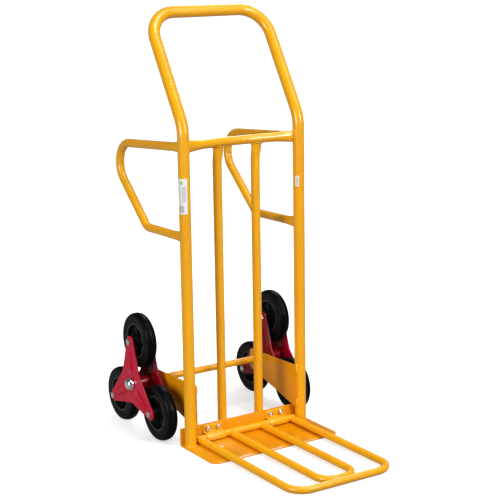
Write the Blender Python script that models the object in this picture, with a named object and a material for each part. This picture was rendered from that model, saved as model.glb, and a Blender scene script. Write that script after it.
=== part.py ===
"""Stair-climbing sack truck with a folding toe frame.

Metres, +Z up. The load side faces -Y and X runs across the truck. The origin is on the floor,
midway between the two uprights and under their centre lines, on the underside of the toe plate.
"""

import math

import bmesh
import bpy
from mathutils import Matrix, Vector

# ------------------------------------------------------------------ driving dimensions (metres)
WELD_GAP = 0.0003          # clearance left where two separate pieces touch or are welded
RUN_GAP = 0.0005           # clearance where one piece turns on another

# bent main tube: two uprights and the handle, one length of tube
FRAME_RADIUS = 0.0160
FRAME_WALL = 0.0018
UPRIGHT_X = 0.1843         # centre line of each upright
BEND_Z = 0.8860            # where the uprights' and the handle's centre lines cross
HANDLE_Y = 0.1755          # centre line of the hand bar, behind the uprights
HANDLE_Z = 1.1750
LOWER_BEND = 0.1000        # centre-line bend radii
UPPER_BEND = 0.0800

# bowed cross tube and the two inner tubes
CROSS_RADIUS = 0.0125
CROSS_WALL = 0.0015
CROSS_Z = 0.8315
CROSS_BOW = 0.0280         # how far its middle stands back
CROSS_END_HEIGHT = 0.0330  # its ends are pressed flat
CROSS_END_WIDTH = 0.0120
INNER_RADIUS = 0.0125
INNER_WALL = 0.0015
INNER_X = 0.0614
INNER_FOOT_Z = 0.0060
INNER_END_WIDTH = 0.0330
INNER_END_DEPTH = 0.0120

# side handle loops, in a plane just inside each upright's centre line
SIDE_INSET = 0.0025
SIDE_RADIUS = 0.0120
SIDE_WALL = 0.0015
SIDE_TOP_Z = 0.8310        # on the upright
SIDE_BOTTOM_Z = 0.5870
SIDE_TOP_CORNER = (0.4570, 0.8000)       # Y, Z where the straight runs cross
SIDE_BOTTOM_CORNER = (0.2165, 0.5830)
SIDE_TOP_BEND = 0.0620
SIDE_BOTTOM_BEND = 0.0300
SIDE_END_HEIGHT = 0.0310
SIDE_END_WIDTH = 0.0120

FLAT_LENGTH = 0.0480       # length over which a tube end changes from round to flat

# toe plate, one pressed sheet with a rear flange
TOE_SHEET = 0.0035
TOE_OVERHANG = 0.0225      # past each upright's centre line
TOE_FRONT_Y = -0.1580
TOE_FLANGE_Z = 0.0500
TOE_CORNER = 0.0180        # chamfer of the front corners
TOE_BEND = TOE_SHEET + WELD_GAP   # outer radius between plate and flange

# side plates that carry the axle
SIDE_PLATE = 0.0030
PLATE_FRONT_Y = -0.0060
PLATE_FRONT_TOP_Z = 0.1725
PLATE_FRONT_BOTTOM_Z = 0.0455
PLATE_TAIL = 0.0310        # how far the plate runs on behind the axle
PLATE_REAR_TOP_Z = 0.1655
PLATE_REAR_BOTTOM_Z = 0.1075
PLATE_CORNER = 0.0060

# folding toe frame
TOE_BAR_RADIUS = 0.0100
TOE_TUBE_WALL = 0.0015
FOLD_CLEARANCE = 0.0010    # between the folded frame and each side plate
FOLD_FRONT_Y = -0.4660     # centre line of the outer front bar
FOLD_OUTER_BEND = 0.0500
FOLD_INNER_X = 0.0526
FOLD_INNER_BEND = 0.0400

# hinge saddles, bolted to the flange
SADDLE_SHEET = 0.0025
SADDLE_X = 0.1050          # middle of each saddle
SADDLE_WIDTH = 0.0620
SADDLE_DROP = 0.0060       # how far it reaches down below the bar's centre in front
SADDLE_BEND = 0.0045       # outer radius where it turns off the flange
SADDLE_TOP_MARGIN = 0.0030
HINGE_BOLT_SPACING = 0.0330
HINGE_BOLT_Z = 0.0375
HINGE_BOLT_RADIUS = 0.0040
HINGE_BOLT_ACROSS = 0.0130
HINGE_HEAD = 0.0053
HINGE_NUT = 0.0065
HINGE_BOLT_SPARE = 0.0020  # thread past the nut

# axle, wheel stars and wheels
AXLE_RADIUS = 0.0100
AXLE_Y = 0.2060
AXLE_SPARE = 0.0050        # length past each outer star plate
STAR_STANDOFF = 0.0230     # from each side plate to the inner star plate
STAR_PLATE = 0.0040
STAR_SPACE = 0.0580        # between the two plates
STAR_ARM = 0.1235          # axle to wheel bolt
STAR_TIP_RADIUS = 0.0168
STAR_WAIST = 0.0565        # axle to the edge between two arms
STAR_WAIST_BEND = 0.0450
HUB_RADIUS = 0.0180
SPACER_RADIUS = 0.0150
WHEEL_RADIUS = 0.0788
WHEEL_SIDES = 20           # facets round a tyre and its rim, which must match
TYRE_WIDTH = 0.0315
TYRE_BORE = 0.0475
TYRE_SHOULDER = 0.0110
RIM_WIDTH = 0.0285
RIM_WALL = 0.0035
RIM_WEB = 0.0060
RIM_HUB_RADIUS = 0.0150
WHEEL_PLAY = 0.0010        # between the wheel hub and each star plate
WHEEL_BOLT_RADIUS = 0.0050
WHEEL_BOLT_ACROSS = 0.0170
WHEEL_HEAD = 0.0064
WHEEL_NUT = 0.0080
WHEEL_BOLT_SPARE = 0.0025
CAP_RADIUS = 0.0190
CAP_HEIGHT = 0.0150
CAP_WALL = 0.0015

# paper labels on the uprights
LABEL_SHEET = 0.0004
LABELS = {
    # side: lower Z, upper Z, angle of its middle from -Y towards -X, angle it covers
    "left": (0.6550, 0.7500, math.radians(48.0), math.radians(92.0)),
    "right": (0.6920, 0.7215, math.radians(50.0), math.radians(38.0)),
}

SIDES = {"left": -1, "right": 1}
STAR_ANGLES = {"top": 0.0, "front": math.radians(120.0), "rear": math.radians(-120.0)}

# ------------------------------------------------------------------ sizes that follow from them
INNER_Y = FRAME_RADIUS + WELD_GAP + TOE_SHEET + WELD_GAP + INNER_RADIUS
FLANGE_Y = FRAME_RADIUS + WELD_GAP                      # front face of the flange
SADDLE_BACK_Y = FLANGE_Y - WELD_GAP                     # back face of the saddles
BAR_Y = SADDLE_BACK_Y - SADDLE_SHEET - WELD_GAP - TOE_BAR_RADIUS
BAR_Z = TOE_SHEET + WELD_GAP + TOE_BAR_RADIUS
SIDE_X = UPRIGHT_X - SIDE_INSET
TOE_HALF_WIDTH = UPRIGHT_X + TOE_OVERHANG
SIDE_PLATE_X = UPRIGHT_X - FRAME_RADIUS - WELD_GAP - SIDE_PLATE / 2
FOLD_HALF_WIDTH = SIDE_PLATE_X - SIDE_PLATE / 2 - FOLD_CLEARANCE
FOLD_OUTER_X = FOLD_HALF_WIDTH - TOE_BAR_RADIUS
AXLE_Z = WHEEL_RADIUS + STAR_ARM * math.cos(math.pi / 3)
STAR_INNER_X = SIDE_PLATE_X + SIDE_PLATE / 2 + STAR_STANDOFF   # inner face of the inner star plate
STAR_OUTER_X = STAR_INNER_X + STAR_PLATE + STAR_SPACE   # inner face of the outer star plate
WHEEL_X = STAR_INNER_X + STAR_PLATE + STAR_SPACE / 2
STAR_FACE_X = STAR_OUTER_X + STAR_PLATE
AXLE_BORE = AXLE_RADIUS + RUN_GAP


# ------------------------------------------------------------------ modelling helpers
def clear_scene():
    for old in list(bpy.data.objects):
        bpy.data.objects.remove(old)


def paint(name, colour, roughness, metallic):
    """A plain material with one colour."""
    made = bpy.data.materials.new(name)
    made.use_nodes = True
    shader = made.node_tree.nodes["Principled BSDF"]
    shader.inputs["Base Color"].default_value = (*colour, 1.0)
    shader.inputs["Roughness"].default_value = roughness
    shader.inputs["Metallic"].default_value = metallic
    return made


def group(name, location=(0, 0, 0), parent=None):
    """An empty that a moving group hangs from, on its joint's axis."""
    made = bpy.data.objects.new(name, None)
    made.empty_display_size = 0.05
    made.location = location
    made.parent = parent
    bpy.context.scene.collection.objects.link(made)
    return made


def add_part(name, bm, material, location=(0, 0, 0), parent=None):
    """Turns a bmesh into a finished, smooth-shaded sub-part."""
    bmesh.ops.recalc_face_normals(bm, faces=bm.faces)
    mesh = bpy.data.meshes.new(name)
    bm.to_mesh(mesh)
    bm.free()
    mesh.shade_smooth()
    mesh.set_sharp_from_angle(angle=math.radians(40))
    mesh.materials.append(material)
    made = bpy.data.objects.new(name, mesh)
    made.location = location
    made.parent = parent
    bpy.context.scene.collection.objects.link(made)
    return made


def cut(part, cutter):
    """Takes the cutter's shape away from the part. The cutter itself is only a guide."""
    cutter.hide_render = True
    cutter.display_type = "WIRE"
    step = part.modifiers.new(cutter.name, "BOOLEAN")
    step.operation = "DIFFERENCE"
    step.solver = "EXACT"
    step.object = cutter


def rod_cutter(name, start, end, radius, sides=32):
    """A cylinder between two points, for drilling and coping."""
    start, end = Vector(start), Vector(end)
    along = end - start
    turn = along.to_track_quat("Z", "Y").to_matrix().to_4x4()
    place = Matrix.Translation((start + end) / 2) @ turn
    bm = bmesh.new()
    bmesh.ops.create_cone(
        bm, cap_ends=True, segments=sides, radius1=radius, radius2=radius, depth=along.length, matrix=place
    )
    return add_part(name, bm, GUIDE)


def rounded_path(corners, radii, step=math.radians(18)):
    """Points along straight runs between the corners, with an arc of the given radius at each."""
    corners = [Vector(c) for c in corners]
    points = [corners[0]]
    for before, corner, after, radius in zip(corners, corners[1:], corners[2:], radii):
        into = (corner - before).normalized()
        out = (after - corner).normalized()
        turn = into.angle(out)
        reach = radius * math.tan(turn / 2)
        axis = into.cross(out).normalized()
        centre = corner - into * reach + axis.cross(into) * radius
        arm = corner - into * reach - centre
        count = max(2, round(turn / step))
        points += [centre + Matrix.Rotation(turn * i / count, 3, axis) @ arm for i in range(count + 1)]
    points.append(corners[-1])
    return points


def with_end_stations(points, length, count=4):
    """Adds points near both ends of a path, where the tube's section changes."""
    first = (points[1] - points[0]).normalized()
    last = (points[-2] - points[-1]).normalized()
    steps = [length * i / count for i in range(1, count + 1)]
    head = [points[0] + first * s for s in steps]
    tail = [points[-1] + last * s for s in reversed(steps)]
    return [points[0], *head, *points[1:-1], *tail, points[-1]]


def blend_section(distance, round_half, flat_half, length):
    """Half sizes of a section at a distance from a flattened end."""
    t = min(1.0, distance / length)
    t = t * t * (3 - 2 * t)
    return [f + (r - f) * t for f, r in zip(flat_half, (round_half, round_half))]


def sweep(points, side_axis, halves, wall=None, sides=12):
    """A tube along a path. halves gives (across, up) half sizes at each point, where across lies
    along side_axis at the start. With a wall the tube is hollow and open at both ends."""
    bm = bmesh.new()
    shells = []
    for inset in ([0.0] if wall is None else [0.0, wall]):
        across = Vector(side_axis)
        rings = []
        heading = (points[1] - points[0]).normalized()
        for i, point in enumerate(points):
            ahead = points[min(i + 1, len(points) - 1)] - point
            behind = point - points[max(i - 1, 0)]
            tangent = (ahead.normalized() + behind.normalized()).normalized()
            across = heading.rotation_difference(tangent) @ across
            heading = tangent
            up = tangent.cross(across)
            half_across, half_up = (h - inset for h in halves[i])
            ring = []
            for k in range(sides):
                angle = 2 * math.pi * (k + 0.5) / sides
                offset = across * half_across * math.cos(angle) + up * half_up * math.sin(angle)
                ring.append(bm.verts.new(point + offset))
            rings.append(ring)
        shells.append(rings)
    for rings in shells:
        for one, two in zip(rings, rings[1:]):
            join_rings(bm, one, two)
    if wall is None:
        bm.faces.new(reversed(shells[0][0]))
        bm.faces.new(shells[0][-1])
    else:
        join_rings(bm, shells[0][0], shells[1][0])
        join_rings(bm, shells[0][-1], shells[1][-1])
    return bm


def join_rings(bm, one, two):
    for k in range(len(one)):
        after = (k + 1) % len(one)
        bm.faces.new((one[k], one[after], two[after], two[k]))


def turned(profile, sides, closed=True):
    """A ring or disc turned about the X axis from (x, radius) points in order."""
    bm = bmesh.new()
    verts = [bm.verts.new((x, 0, r)) for x, r in profile]
    edges = [bm.edges.new(pair) for pair in zip(verts, verts[1:])]
    if closed:
        edges.append(bm.edges.new((verts[-1], verts[0])))
    bmesh.ops.spin(
        bm, geom=verts + edges, cent=(0, 0, 0), axis=(1, 0, 0), angle=2 * math.pi, steps=sides,
        use_merge=True,
    )
    bmesh.ops.remove_doubles(bm, verts=bm.verts, dist=1e-6)
    return bm


def extruded(outline, along, depth):
    """A flat outline, pushed along an axis. outline holds 3D points in one plane."""
    bm = bmesh.new()
    face = bm.faces.new([bm.verts.new(p) for p in outline])
    pushed = bmesh.ops.extrude_face_region(bm, geom=[face])["geom"]
    moved = [v for v in pushed if isinstance(v, bmesh.types.BMVert)]
    bmesh.ops.translate(bm, verts=moved, vec=Vector(along) * depth)
    return bm


def hex_bolt(shank_radius, across, head, shank, axis_sign):
    """A hexagon head outside x = 0 and a shank that runs inwards, along X."""
    corner = across / math.sqrt(3)
    bm = bmesh.new()
    bmesh.ops.create_circle(bm, cap_ends=True, segments=12, radius=shank_radius)
    bmesh.ops.rotate(bm, verts=bm.verts, cent=(0, 0, 0), matrix=Matrix.Rotation(math.pi / 2, 3, "Y"))
    end = list(bm.faces)
    pushed = bmesh.ops.extrude_face_region(bm, geom=end)["geom"]
    moved = [v for v in pushed if isinstance(v, bmesh.types.BMVert)]
    bmesh.ops.translate(bm, verts=moved, vec=(-axis_sign * shank, 0, 0))
    middle = [f for f in bm.faces if all(abs(v.co.x) < 1e-9 for v in f.verts)]
    bmesh.ops.delete(bm, geom=middle, context="FACES_ONLY")
    ring = [v for v in bm.verts if abs(v.co.x) < 1e-9]
    ring.sort(key=lambda v: math.atan2(v.co.y, v.co.z))
    steps = [2 * math.pi * k / 12 for k in range(12)]
    first = math.atan2(ring[0].co.y, ring[0].co.z)
    loops = [ring]
    for x in (0.0, axis_sign * head):
        outer = []
        for k, turn in enumerate(steps):
            reach = corner if k % 2 == 0 else across / 2
            angle = first + turn
            outer.append(bm.verts.new((x, reach * math.sin(angle), reach * math.cos(angle))))
        loops.append(outer)
    for one, two in zip(loops, loops[1:]):
        join_rings(bm, one, two)
    bm.faces.new(loops[-1])
    return bm


def hex_nut(bore, across, height, sides=12):
    """A nut along X, standing from x = 0 to its height."""
    corner = across / math.sqrt(3)
    bm = bmesh.new()
    rings = []
    for x in (0.0, height):
        inner, outer = [], []
        for k in range(sides):
            angle = 2 * math.pi * k / sides
            reach = corner if k % 2 == 0 else across / 2
            inner.append(bm.verts.new((x, bore * math.sin(angle), bore * math.cos(angle))))
            outer.append(bm.verts.new((x, reach * math.sin(angle), reach * math.cos(angle))))
        rings.append((inner, outer))
    (inner_low, outer_low), (inner_high, outer_high) = rings
    join_rings(bm, outer_low, outer_high)
    join_rings(bm, inner_low, inner_high)
    join_rings(bm, inner_low, outer_low)
    join_rings(bm, inner_high, outer_high)
    return bm


def turn_to(bm, axis):
    """Turns a fastener built along X so that it points along another axis."""
    matrix = Vector((1, 0, 0)).rotation_difference(Vector(axis)).to_matrix()
    bmesh.ops.rotate(bm, verts=bm.verts, cent=(0, 0, 0), matrix=matrix)
    return bm


# ------------------------------------------------------------------ materials
clear_scene()
GUIDE = paint("guide", (0.5, 0.5, 0.5), 0.5, 0.0)
FRAME_PAINT = paint("frame_powder_coat", (0.83, 0.36, 0.012), 0.32, 0.0)
STAR_PAINT = paint("star_red_paint", (0.52, 0.004, 0.022), 0.30, 0.0)
ZINC = paint("zinc_plate", (0.62, 0.63, 0.62), 0.30, 1.0)
CHROME = paint("chrome_cap", (0.80, 0.81, 0.82), 0.08, 1.0)
RUBBER = paint("tyre_rubber", (0.012, 0.012, 0.013), 0.50, 0.0)
RIM_PLASTIC = paint("rim_plastic", (0.008, 0.008, 0.009), 0.38, 0.0)
PAPER = paint("label_paper", (0.80, 0.81, 0.76), 0.45, 0.0)

frame_group = group("frame_group")


# ------------------------------------------------------------------ main tube
def build_main_tube():
    corners = [
        (-UPRIGHT_X, 0, TOE_SHEET + WELD_GAP),
        (-UPRIGHT_X, 0, BEND_Z),
        (-UPRIGHT_X, HANDLE_Y, HANDLE_Z),
        (UPRIGHT_X, HANDLE_Y, HANDLE_Z),
        (UPRIGHT_X, 0, BEND_Z),
        (UPRIGHT_X, 0, TOE_SHEET + WELD_GAP),
    ]
    path = rounded_path(corners, [LOWER_BEND, UPPER_BEND, UPPER_BEND, LOWER_BEND])
    halves = [(FRAME_RADIUS, FRAME_RADIUS)] * len(path)
    bm = sweep(path, (0, 1, 0), halves, FRAME_WALL, sides=14)
    return add_part("main_frame_tube", bm, FRAME_PAINT, parent=frame_group)


build_main_tube()
upright_cutters = [
    rod_cutter(
        f"upright_cope_{name}", (s * UPRIGHT_X, 0, 0.4), (s * UPRIGHT_X, 0, 0.95), FRAME_RADIUS + WELD_GAP
    )
    for name, s in SIDES.items()
]


# ------------------------------------------------------------------ cross tube and inner tubes
def cross_path(count=10):
    """An arc through both uprights' centre lines that stands back by CROSS_BOW in the middle."""
    radius = (UPRIGHT_X**2 + CROSS_BOW**2) / (2 * CROSS_BOW)
    spread = math.asin(UPRIGHT_X / radius)
    path = []
    for i in range(count + 1):
        angle = -spread + 2 * spread * i / count
        path.append(Vector((radius * math.sin(angle), CROSS_BOW - radius * (1 - math.cos(angle)), CROSS_Z)))
    return path


def cross_halves(path, extra=0.0):
    flat = (CROSS_END_HEIGHT / 2 + extra, CROSS_END_WIDTH / 2 + extra)
    halves = []
    for point in path:
        distance = UPRIGHT_X - FRAME_RADIUS * 0.5 - abs(point.x)
        halves.append(blend_section(max(0.0, distance), CROSS_RADIUS + extra, flat, FLAT_LENGTH * 1.4))
    return halves


def build_cross_tube():
    path = cross_path()
    bm = sweep(path, (0, 0, 1), cross_halves(path), CROSS_WALL, sides=12)
    part = add_part("cross_tube", bm, FRAME_PAINT, parent=frame_group)
    for cutter in upright_cutters:
        cut(part, cutter)


def build_inner_tubes():
    path = cross_path()
    cope_bm = sweep(path, (0, 0, 1), cross_halves(path, 2 * WELD_GAP), None, 20)
    cope = add_part("cross_cope", cope_bm, GUIDE)
    for name, s in SIDES.items():
        x = s * INNER_X
        run = [Vector((x, INNER_Y, z)) for z in (CROSS_Z, INNER_FOOT_Z)]
        steps = [FLAT_LENGTH * i / 4 for i in range(1, 5)]
        points = [run[0], *[run[0] - Vector((0, 0, d + CROSS_RADIUS * 0.5)) for d in steps], run[1]]
        halves = []
        for point in points:
            distance = max(0.0, CROSS_Z - CROSS_RADIUS - point.z)
            flat = (INNER_END_WIDTH / 2, INNER_END_DEPTH / 2)
            halves.append(blend_section(distance, INNER_RADIUS, flat, FLAT_LENGTH))
        bm = sweep(points, (1, 0, 0), halves, INNER_WALL, sides=12)
        part = add_part(f"inner_tube_{name}", bm, FRAME_PAINT, parent=frame_group)
        cut(part, cope)


build_cross_tube()
build_inner_tubes()


# ------------------------------------------------------------------ side handle loops
def build_side_handle(name, s):
    x = s * SIDE_X
    corners = [(x, 0, SIDE_TOP_Z), (x, *SIDE_TOP_CORNER), (x, *SIDE_BOTTOM_CORNER), (x, 0, SIDE_BOTTOM_Z)]
    path = rounded_path(corners, [SIDE_TOP_BEND, SIDE_BOTTOM_BEND])
    path = with_end_stations(path, FRAME_RADIUS + FLAT_LENGTH, 3)
    flat = (SIDE_END_WIDTH / 2, SIDE_END_HEIGHT / 2)
    halves = []
    for point in path:
        at_end = point.y < SIDE_BOTTOM_CORNER[0] * 0.75
        distance = max(0.0, point.y - FRAME_RADIUS) if at_end else FLAT_LENGTH
        halves.append(blend_section(distance, SIDE_RADIUS, flat, FLAT_LENGTH))
    bm = sweep(path, (1, 0, 0), halves, SIDE_WALL, sides=10)
    part = add_part(f"side_handle_{name}", bm, FRAME_PAINT, parent=frame_group)
    for cutter in upright_cutters:
        if cutter.name.endswith(name):
            cut(part, cutter)


for side, sign in SIDES.items():
    build_side_handle(side, sign)


# ------------------------------------------------------------------ toe plate
def arc(centre, radius, start, end, count):
    """Points (u, v) on an arc, angles in degrees."""
    angles = [math.radians(start + (end - start) * i / count) for i in range(count + 1)]
    return [(centre[0] + radius * math.cos(a), centre[1] + radius * math.sin(a)) for a in angles]


def hinge_bolt_positions():
    """Name, X and Z of each of the four hinge bolts."""
    for side, s in SIDES.items():
        for place, shift in (("outer", 0.5), ("inner", -0.5)):
            yield f"{side}_{place}", s * (SADDLE_X + shift * HINGE_BOLT_SPACING), HINGE_BOLT_Z


def build_toe_plate():
    back = FLANGE_Y + TOE_SHEET
    outer = arc((back - TOE_BEND, TOE_BEND), TOE_BEND, -90, 0, 4)
    inner = arc((back - TOE_BEND, TOE_BEND), TOE_BEND - TOE_SHEET, 0, -90, 4)
    profile = [(TOE_FRONT_Y, 0), *outer, (back, TOE_FLANGE_Z), (FLANGE_Y, TOE_FLANGE_Z), *inner]
    profile.append((TOE_FRONT_Y, TOE_SHEET))
    bm = extruded([(-TOE_HALF_WIDTH, y, z) for y, z in profile], (1, 0, 0), 2 * TOE_HALF_WIDTH)
    front = [e for e in bm.edges if all(abs(v.co.y - TOE_FRONT_Y) < 1e-6 for v in e.verts)]
    corners = [e for e in front if abs(e.verts[0].co.x - e.verts[1].co.x) < 1e-6]
    bmesh.ops.bevel(
        bm, geom=corners, offset=TOE_CORNER, offset_type="OFFSET", segments=3, profile=0.35, affect="EDGES",
        material=-1,
    )
    part = add_part("toe_plate", bm, FRAME_PAINT, parent=frame_group)
    for name, x, z in hinge_bolt_positions():
        start, end = (x, FLANGE_Y - 0.01, z), (x, back + 0.01, z)
        cut(part, rod_cutter(f"flange_hole_{name}", start, end, HINGE_BOLT_RADIUS + RUN_GAP, 16))


build_toe_plate()


# ------------------------------------------------------------------ side plates and axle
def build_side_plate(name, s):
    rear = AXLE_Y + PLATE_TAIL
    outline = [
        (PLATE_FRONT_Y, PLATE_FRONT_BOTTOM_Z),
        (rear, PLATE_REAR_BOTTOM_Z),
        (rear, PLATE_REAR_TOP_Z),
        (PLATE_FRONT_Y, PLATE_FRONT_TOP_Z),
    ]
    inner = s * (SIDE_PLATE_X - SIDE_PLATE / 2)
    bm = extruded([(inner, y, z) for y, z in outline], (s, 0, 0), SIDE_PLATE)
    rear_edges = [e for e in bm.edges if all(abs(v.co.y - rear) < 1e-6 for v in e.verts)]
    across = [e for e in rear_edges if abs(e.verts[0].co.z - e.verts[1].co.z) < 1e-6]
    bmesh.ops.bevel(
        bm, geom=across, offset=PLATE_CORNER, offset_type="OFFSET", segments=3, profile=0.5, affect="EDGES",
        material=-1,
    )
    part = add_part(f"side_plate_{name}", bm, FRAME_PAINT, parent=frame_group)
    start, end = (inner - s * 0.01, AXLE_Y, AXLE_Z), (inner + s * 0.02, AXLE_Y, AXLE_Z)
    cut(part, rod_cutter(f"axle_hole_{name}", start, end, AXLE_RADIUS + WELD_GAP))


def build_axle():
    half = STAR_FACE_X + AXLE_SPARE
    bm = bmesh.new()
    turn = Matrix.Rotation(math.pi / 2, 4, "Y")
    bmesh.ops.create_cone(
        bm, cap_ends=True, segments=20, radius1=AXLE_RADIUS, radius2=AXLE_RADIUS, depth=2 * half,
        matrix=turn,
    )
    add_part("axle", bm, FRAME_PAINT, (0, AXLE_Y, AXLE_Z), frame_group)


def build_axle_end(name, s):
    """The spacer between side plate and star, and the cap pressed on the axle's end."""
    start = SIDE_PLATE_X + SIDE_PLATE / 2 + WELD_GAP
    end = STAR_INNER_X - RUN_GAP
    bore = AXLE_RADIUS + WELD_GAP
    ring = [(s * start, bore), (s * end, bore), (s * end, SPACER_RADIUS), (s * start, SPACER_RADIUS)]
    add_part(f"axle_spacer_{name}", turned(ring, 24), FRAME_PAINT, (0, AXLE_Y, AXLE_Z), frame_group)
    foot = STAR_FACE_X + RUN_GAP
    pocket = STAR_FACE_X + AXLE_SPARE + WELD_GAP
    rise = [
        (foot + CAP_HEIGHT * math.sin(a), CAP_RADIUS * math.cos(a) ** 0.5)
        for a in (math.radians(d) for d in (25, 50, 70, 82))
    ]
    outside = [(foot, CAP_RADIUS), *rise, (foot + CAP_HEIGHT, 0.0)]
    inside = [(pocket, 0.0), (pocket, bore), (foot, bore)]
    profile = [(s * x, r) for x, r in [*inside, *outside]]
    cap = turned(profile, 18, closed=False)
    add_part(f"axle_cap_{name}", cap, CHROME, (0, AXLE_Y, AXLE_Z), frame_group)


for side, sign in SIDES.items():
    build_side_plate(side, sign)
    build_axle_end(side, sign)
build_axle()


# ------------------------------------------------------------------ hinge saddles and their bolts
def build_saddle(name, s):
    grip = TOE_BAR_RADIUS + WELD_GAP                   # inside of the wrap
    shell = grip + SADDLE_SHEET                        # outside of the wrap
    top = TOE_FLANGE_Z - SADDLE_TOP_MARGIN - BAR_Z
    inside_bend = SADDLE_BEND - SADDLE_SHEET
    hub = (shell - SADDLE_BEND, grip + SADDLE_BEND)
    profile = [
        (shell, top),
        *arc(hub, SADDLE_BEND, 0, -90, 4),
        *arc((0, 0), grip, 90, 180, 7),
        (-grip, -SADDLE_DROP),
        (-shell, -SADDLE_DROP),
        *arc((0, 0), shell, 180, 90, 7),
        *arc(hub, inside_bend, -90, 0, 4),
        (grip, top),
    ]
    start = s * SADDLE_X - SADDLE_WIDTH / 2
    bm = extruded([(start, y, z) for y, z in profile], (1, 0, 0), SADDLE_WIDTH)
    part = add_part(f"hinge_saddle_{name}", bm, FRAME_PAINT, (0, BAR_Y, BAR_Z), frame_group)
    for bolt, x, z in hinge_bolt_positions():
        if bolt.startswith(name):
            ends = (x, SADDLE_BACK_Y - 0.008, z), (x, SADDLE_BACK_Y + 0.008, z)
            cut(part, rod_cutter(f"saddle_hole_{bolt}", *ends, HINGE_BOLT_RADIUS + RUN_GAP, 16))


def build_hinge_bolts():
    back = FLANGE_Y + TOE_SHEET + WELD_GAP
    nut_seat = SADDLE_BACK_Y - SADDLE_SHEET - WELD_GAP
    shank = back - nut_seat + HINGE_NUT + HINGE_BOLT_SPARE
    for name, x, z in hinge_bolt_positions():
        bolt = hex_bolt(HINGE_BOLT_RADIUS, HINGE_BOLT_ACROSS, HINGE_HEAD, shank, 1)
        add_part(f"hinge_bolt_{name}", turn_to(bolt, (0, 1, 0)), ZINC, (x, back, z), frame_group)
        nut = hex_nut(HINGE_BOLT_RADIUS + WELD_GAP, HINGE_BOLT_ACROSS, HINGE_NUT)
        add_part(f"hinge_nut_{name}", turn_to(nut, (0, -1, 0)), ZINC, (x, nut_seat, z), frame_group)


for side, sign in SIDES.items():
    build_saddle(side, sign)
build_hinge_bolts()


# ------------------------------------------------------------------ folding toe frame
def build_folding_toe():
    toe = group("folding_toe_group", (0, BAR_Y, BAR_Z), frame_group)
    radius = TOE_BAR_RADIUS
    bm = bmesh.new()
    turn = Matrix.Rotation(math.pi / 2, 4, "Y")
    bmesh.ops.create_cone(
        bm, cap_ends=True, segments=24, radius1=radius, radius2=radius, depth=2 * FOLD_HALF_WIDTH,
        matrix=turn,
    )
    add_part("toe_hinge_bar", bm, FRAME_PAINT, parent=toe)
    reach = FOLD_HALF_WIDTH + 0.02
    ends = (-reach, BAR_Y, BAR_Z), (reach, BAR_Y, BAR_Z)
    cope = rod_cutter("hinge_bar_cope", *ends, radius + WELD_GAP, 24)
    outer_front = FOLD_FRONT_Y - BAR_Y
    inner_front = outer_front + 2 * radius + WELD_GAP
    loops = (
        ("toe_outer_loop", FOLD_OUTER_X, outer_front, FOLD_OUTER_BEND),
        ("toe_inner_loop", FOLD_INNER_X, inner_front, FOLD_INNER_BEND),
    )
    for name, x, front, bend in loops:
        corners = [(-x, 0, 0), (-x, front, 0), (x, front, 0), (x, 0, 0)]
        path = rounded_path(corners, [bend, bend])
        bm = sweep(path, (0, 0, 1), [(radius, radius)] * len(path), TOE_TUBE_WALL, sides=12)
        cut(add_part(name, bm, FRAME_PAINT, parent=toe), cope)


build_folding_toe()


# ------------------------------------------------------------------ wheel stars
def star_outline():
    """(y, z) points of a star plate about the axle: three round tips and three hollow waists."""
    tip = Vector((0, STAR_ARM))
    waist_centre = Matrix.Rotation(math.pi / 3, 2) @ Vector((0, STAR_WAIST + STAR_WAIST_BEND))
    between = waist_centre - tip
    lean = math.acos((STAR_TIP_RADIUS + STAR_WAIST_BEND) / between.length)
    base = math.atan2(between.y, between.x)
    touch = math.degrees(base - lean)
    inward = math.degrees(math.atan2(-waist_centre.y, -waist_centre.x))
    tangent_angle = touch + 180
    half = (tangent_angle - inward + 180) % 360 - 180
    tip_middle = 90
    spread = (touch - tip_middle + 180) % 360 - 180
    outline = []
    for turn in (0, 120, 240):
        middle = tip_middle + turn
        outline += arc(turned_point(tip, turn), STAR_TIP_RADIUS, middle - spread, middle + spread, 5)
        middle = inward + turn
        outline += arc(turned_point(waist_centre, turn), STAR_WAIST_BEND, middle + half, middle - half, 4)
    return outline


def turned_point(point, degrees):
    return Matrix.Rotation(math.radians(degrees), 2) @ point


def star_centres():
    """Name and (y, z) offset from the axle of each of a star's three wheels."""
    for name, angle in STAR_ANGLES.items():
        yield name, (-STAR_ARM * math.sin(angle), STAR_ARM * math.cos(angle))


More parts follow.
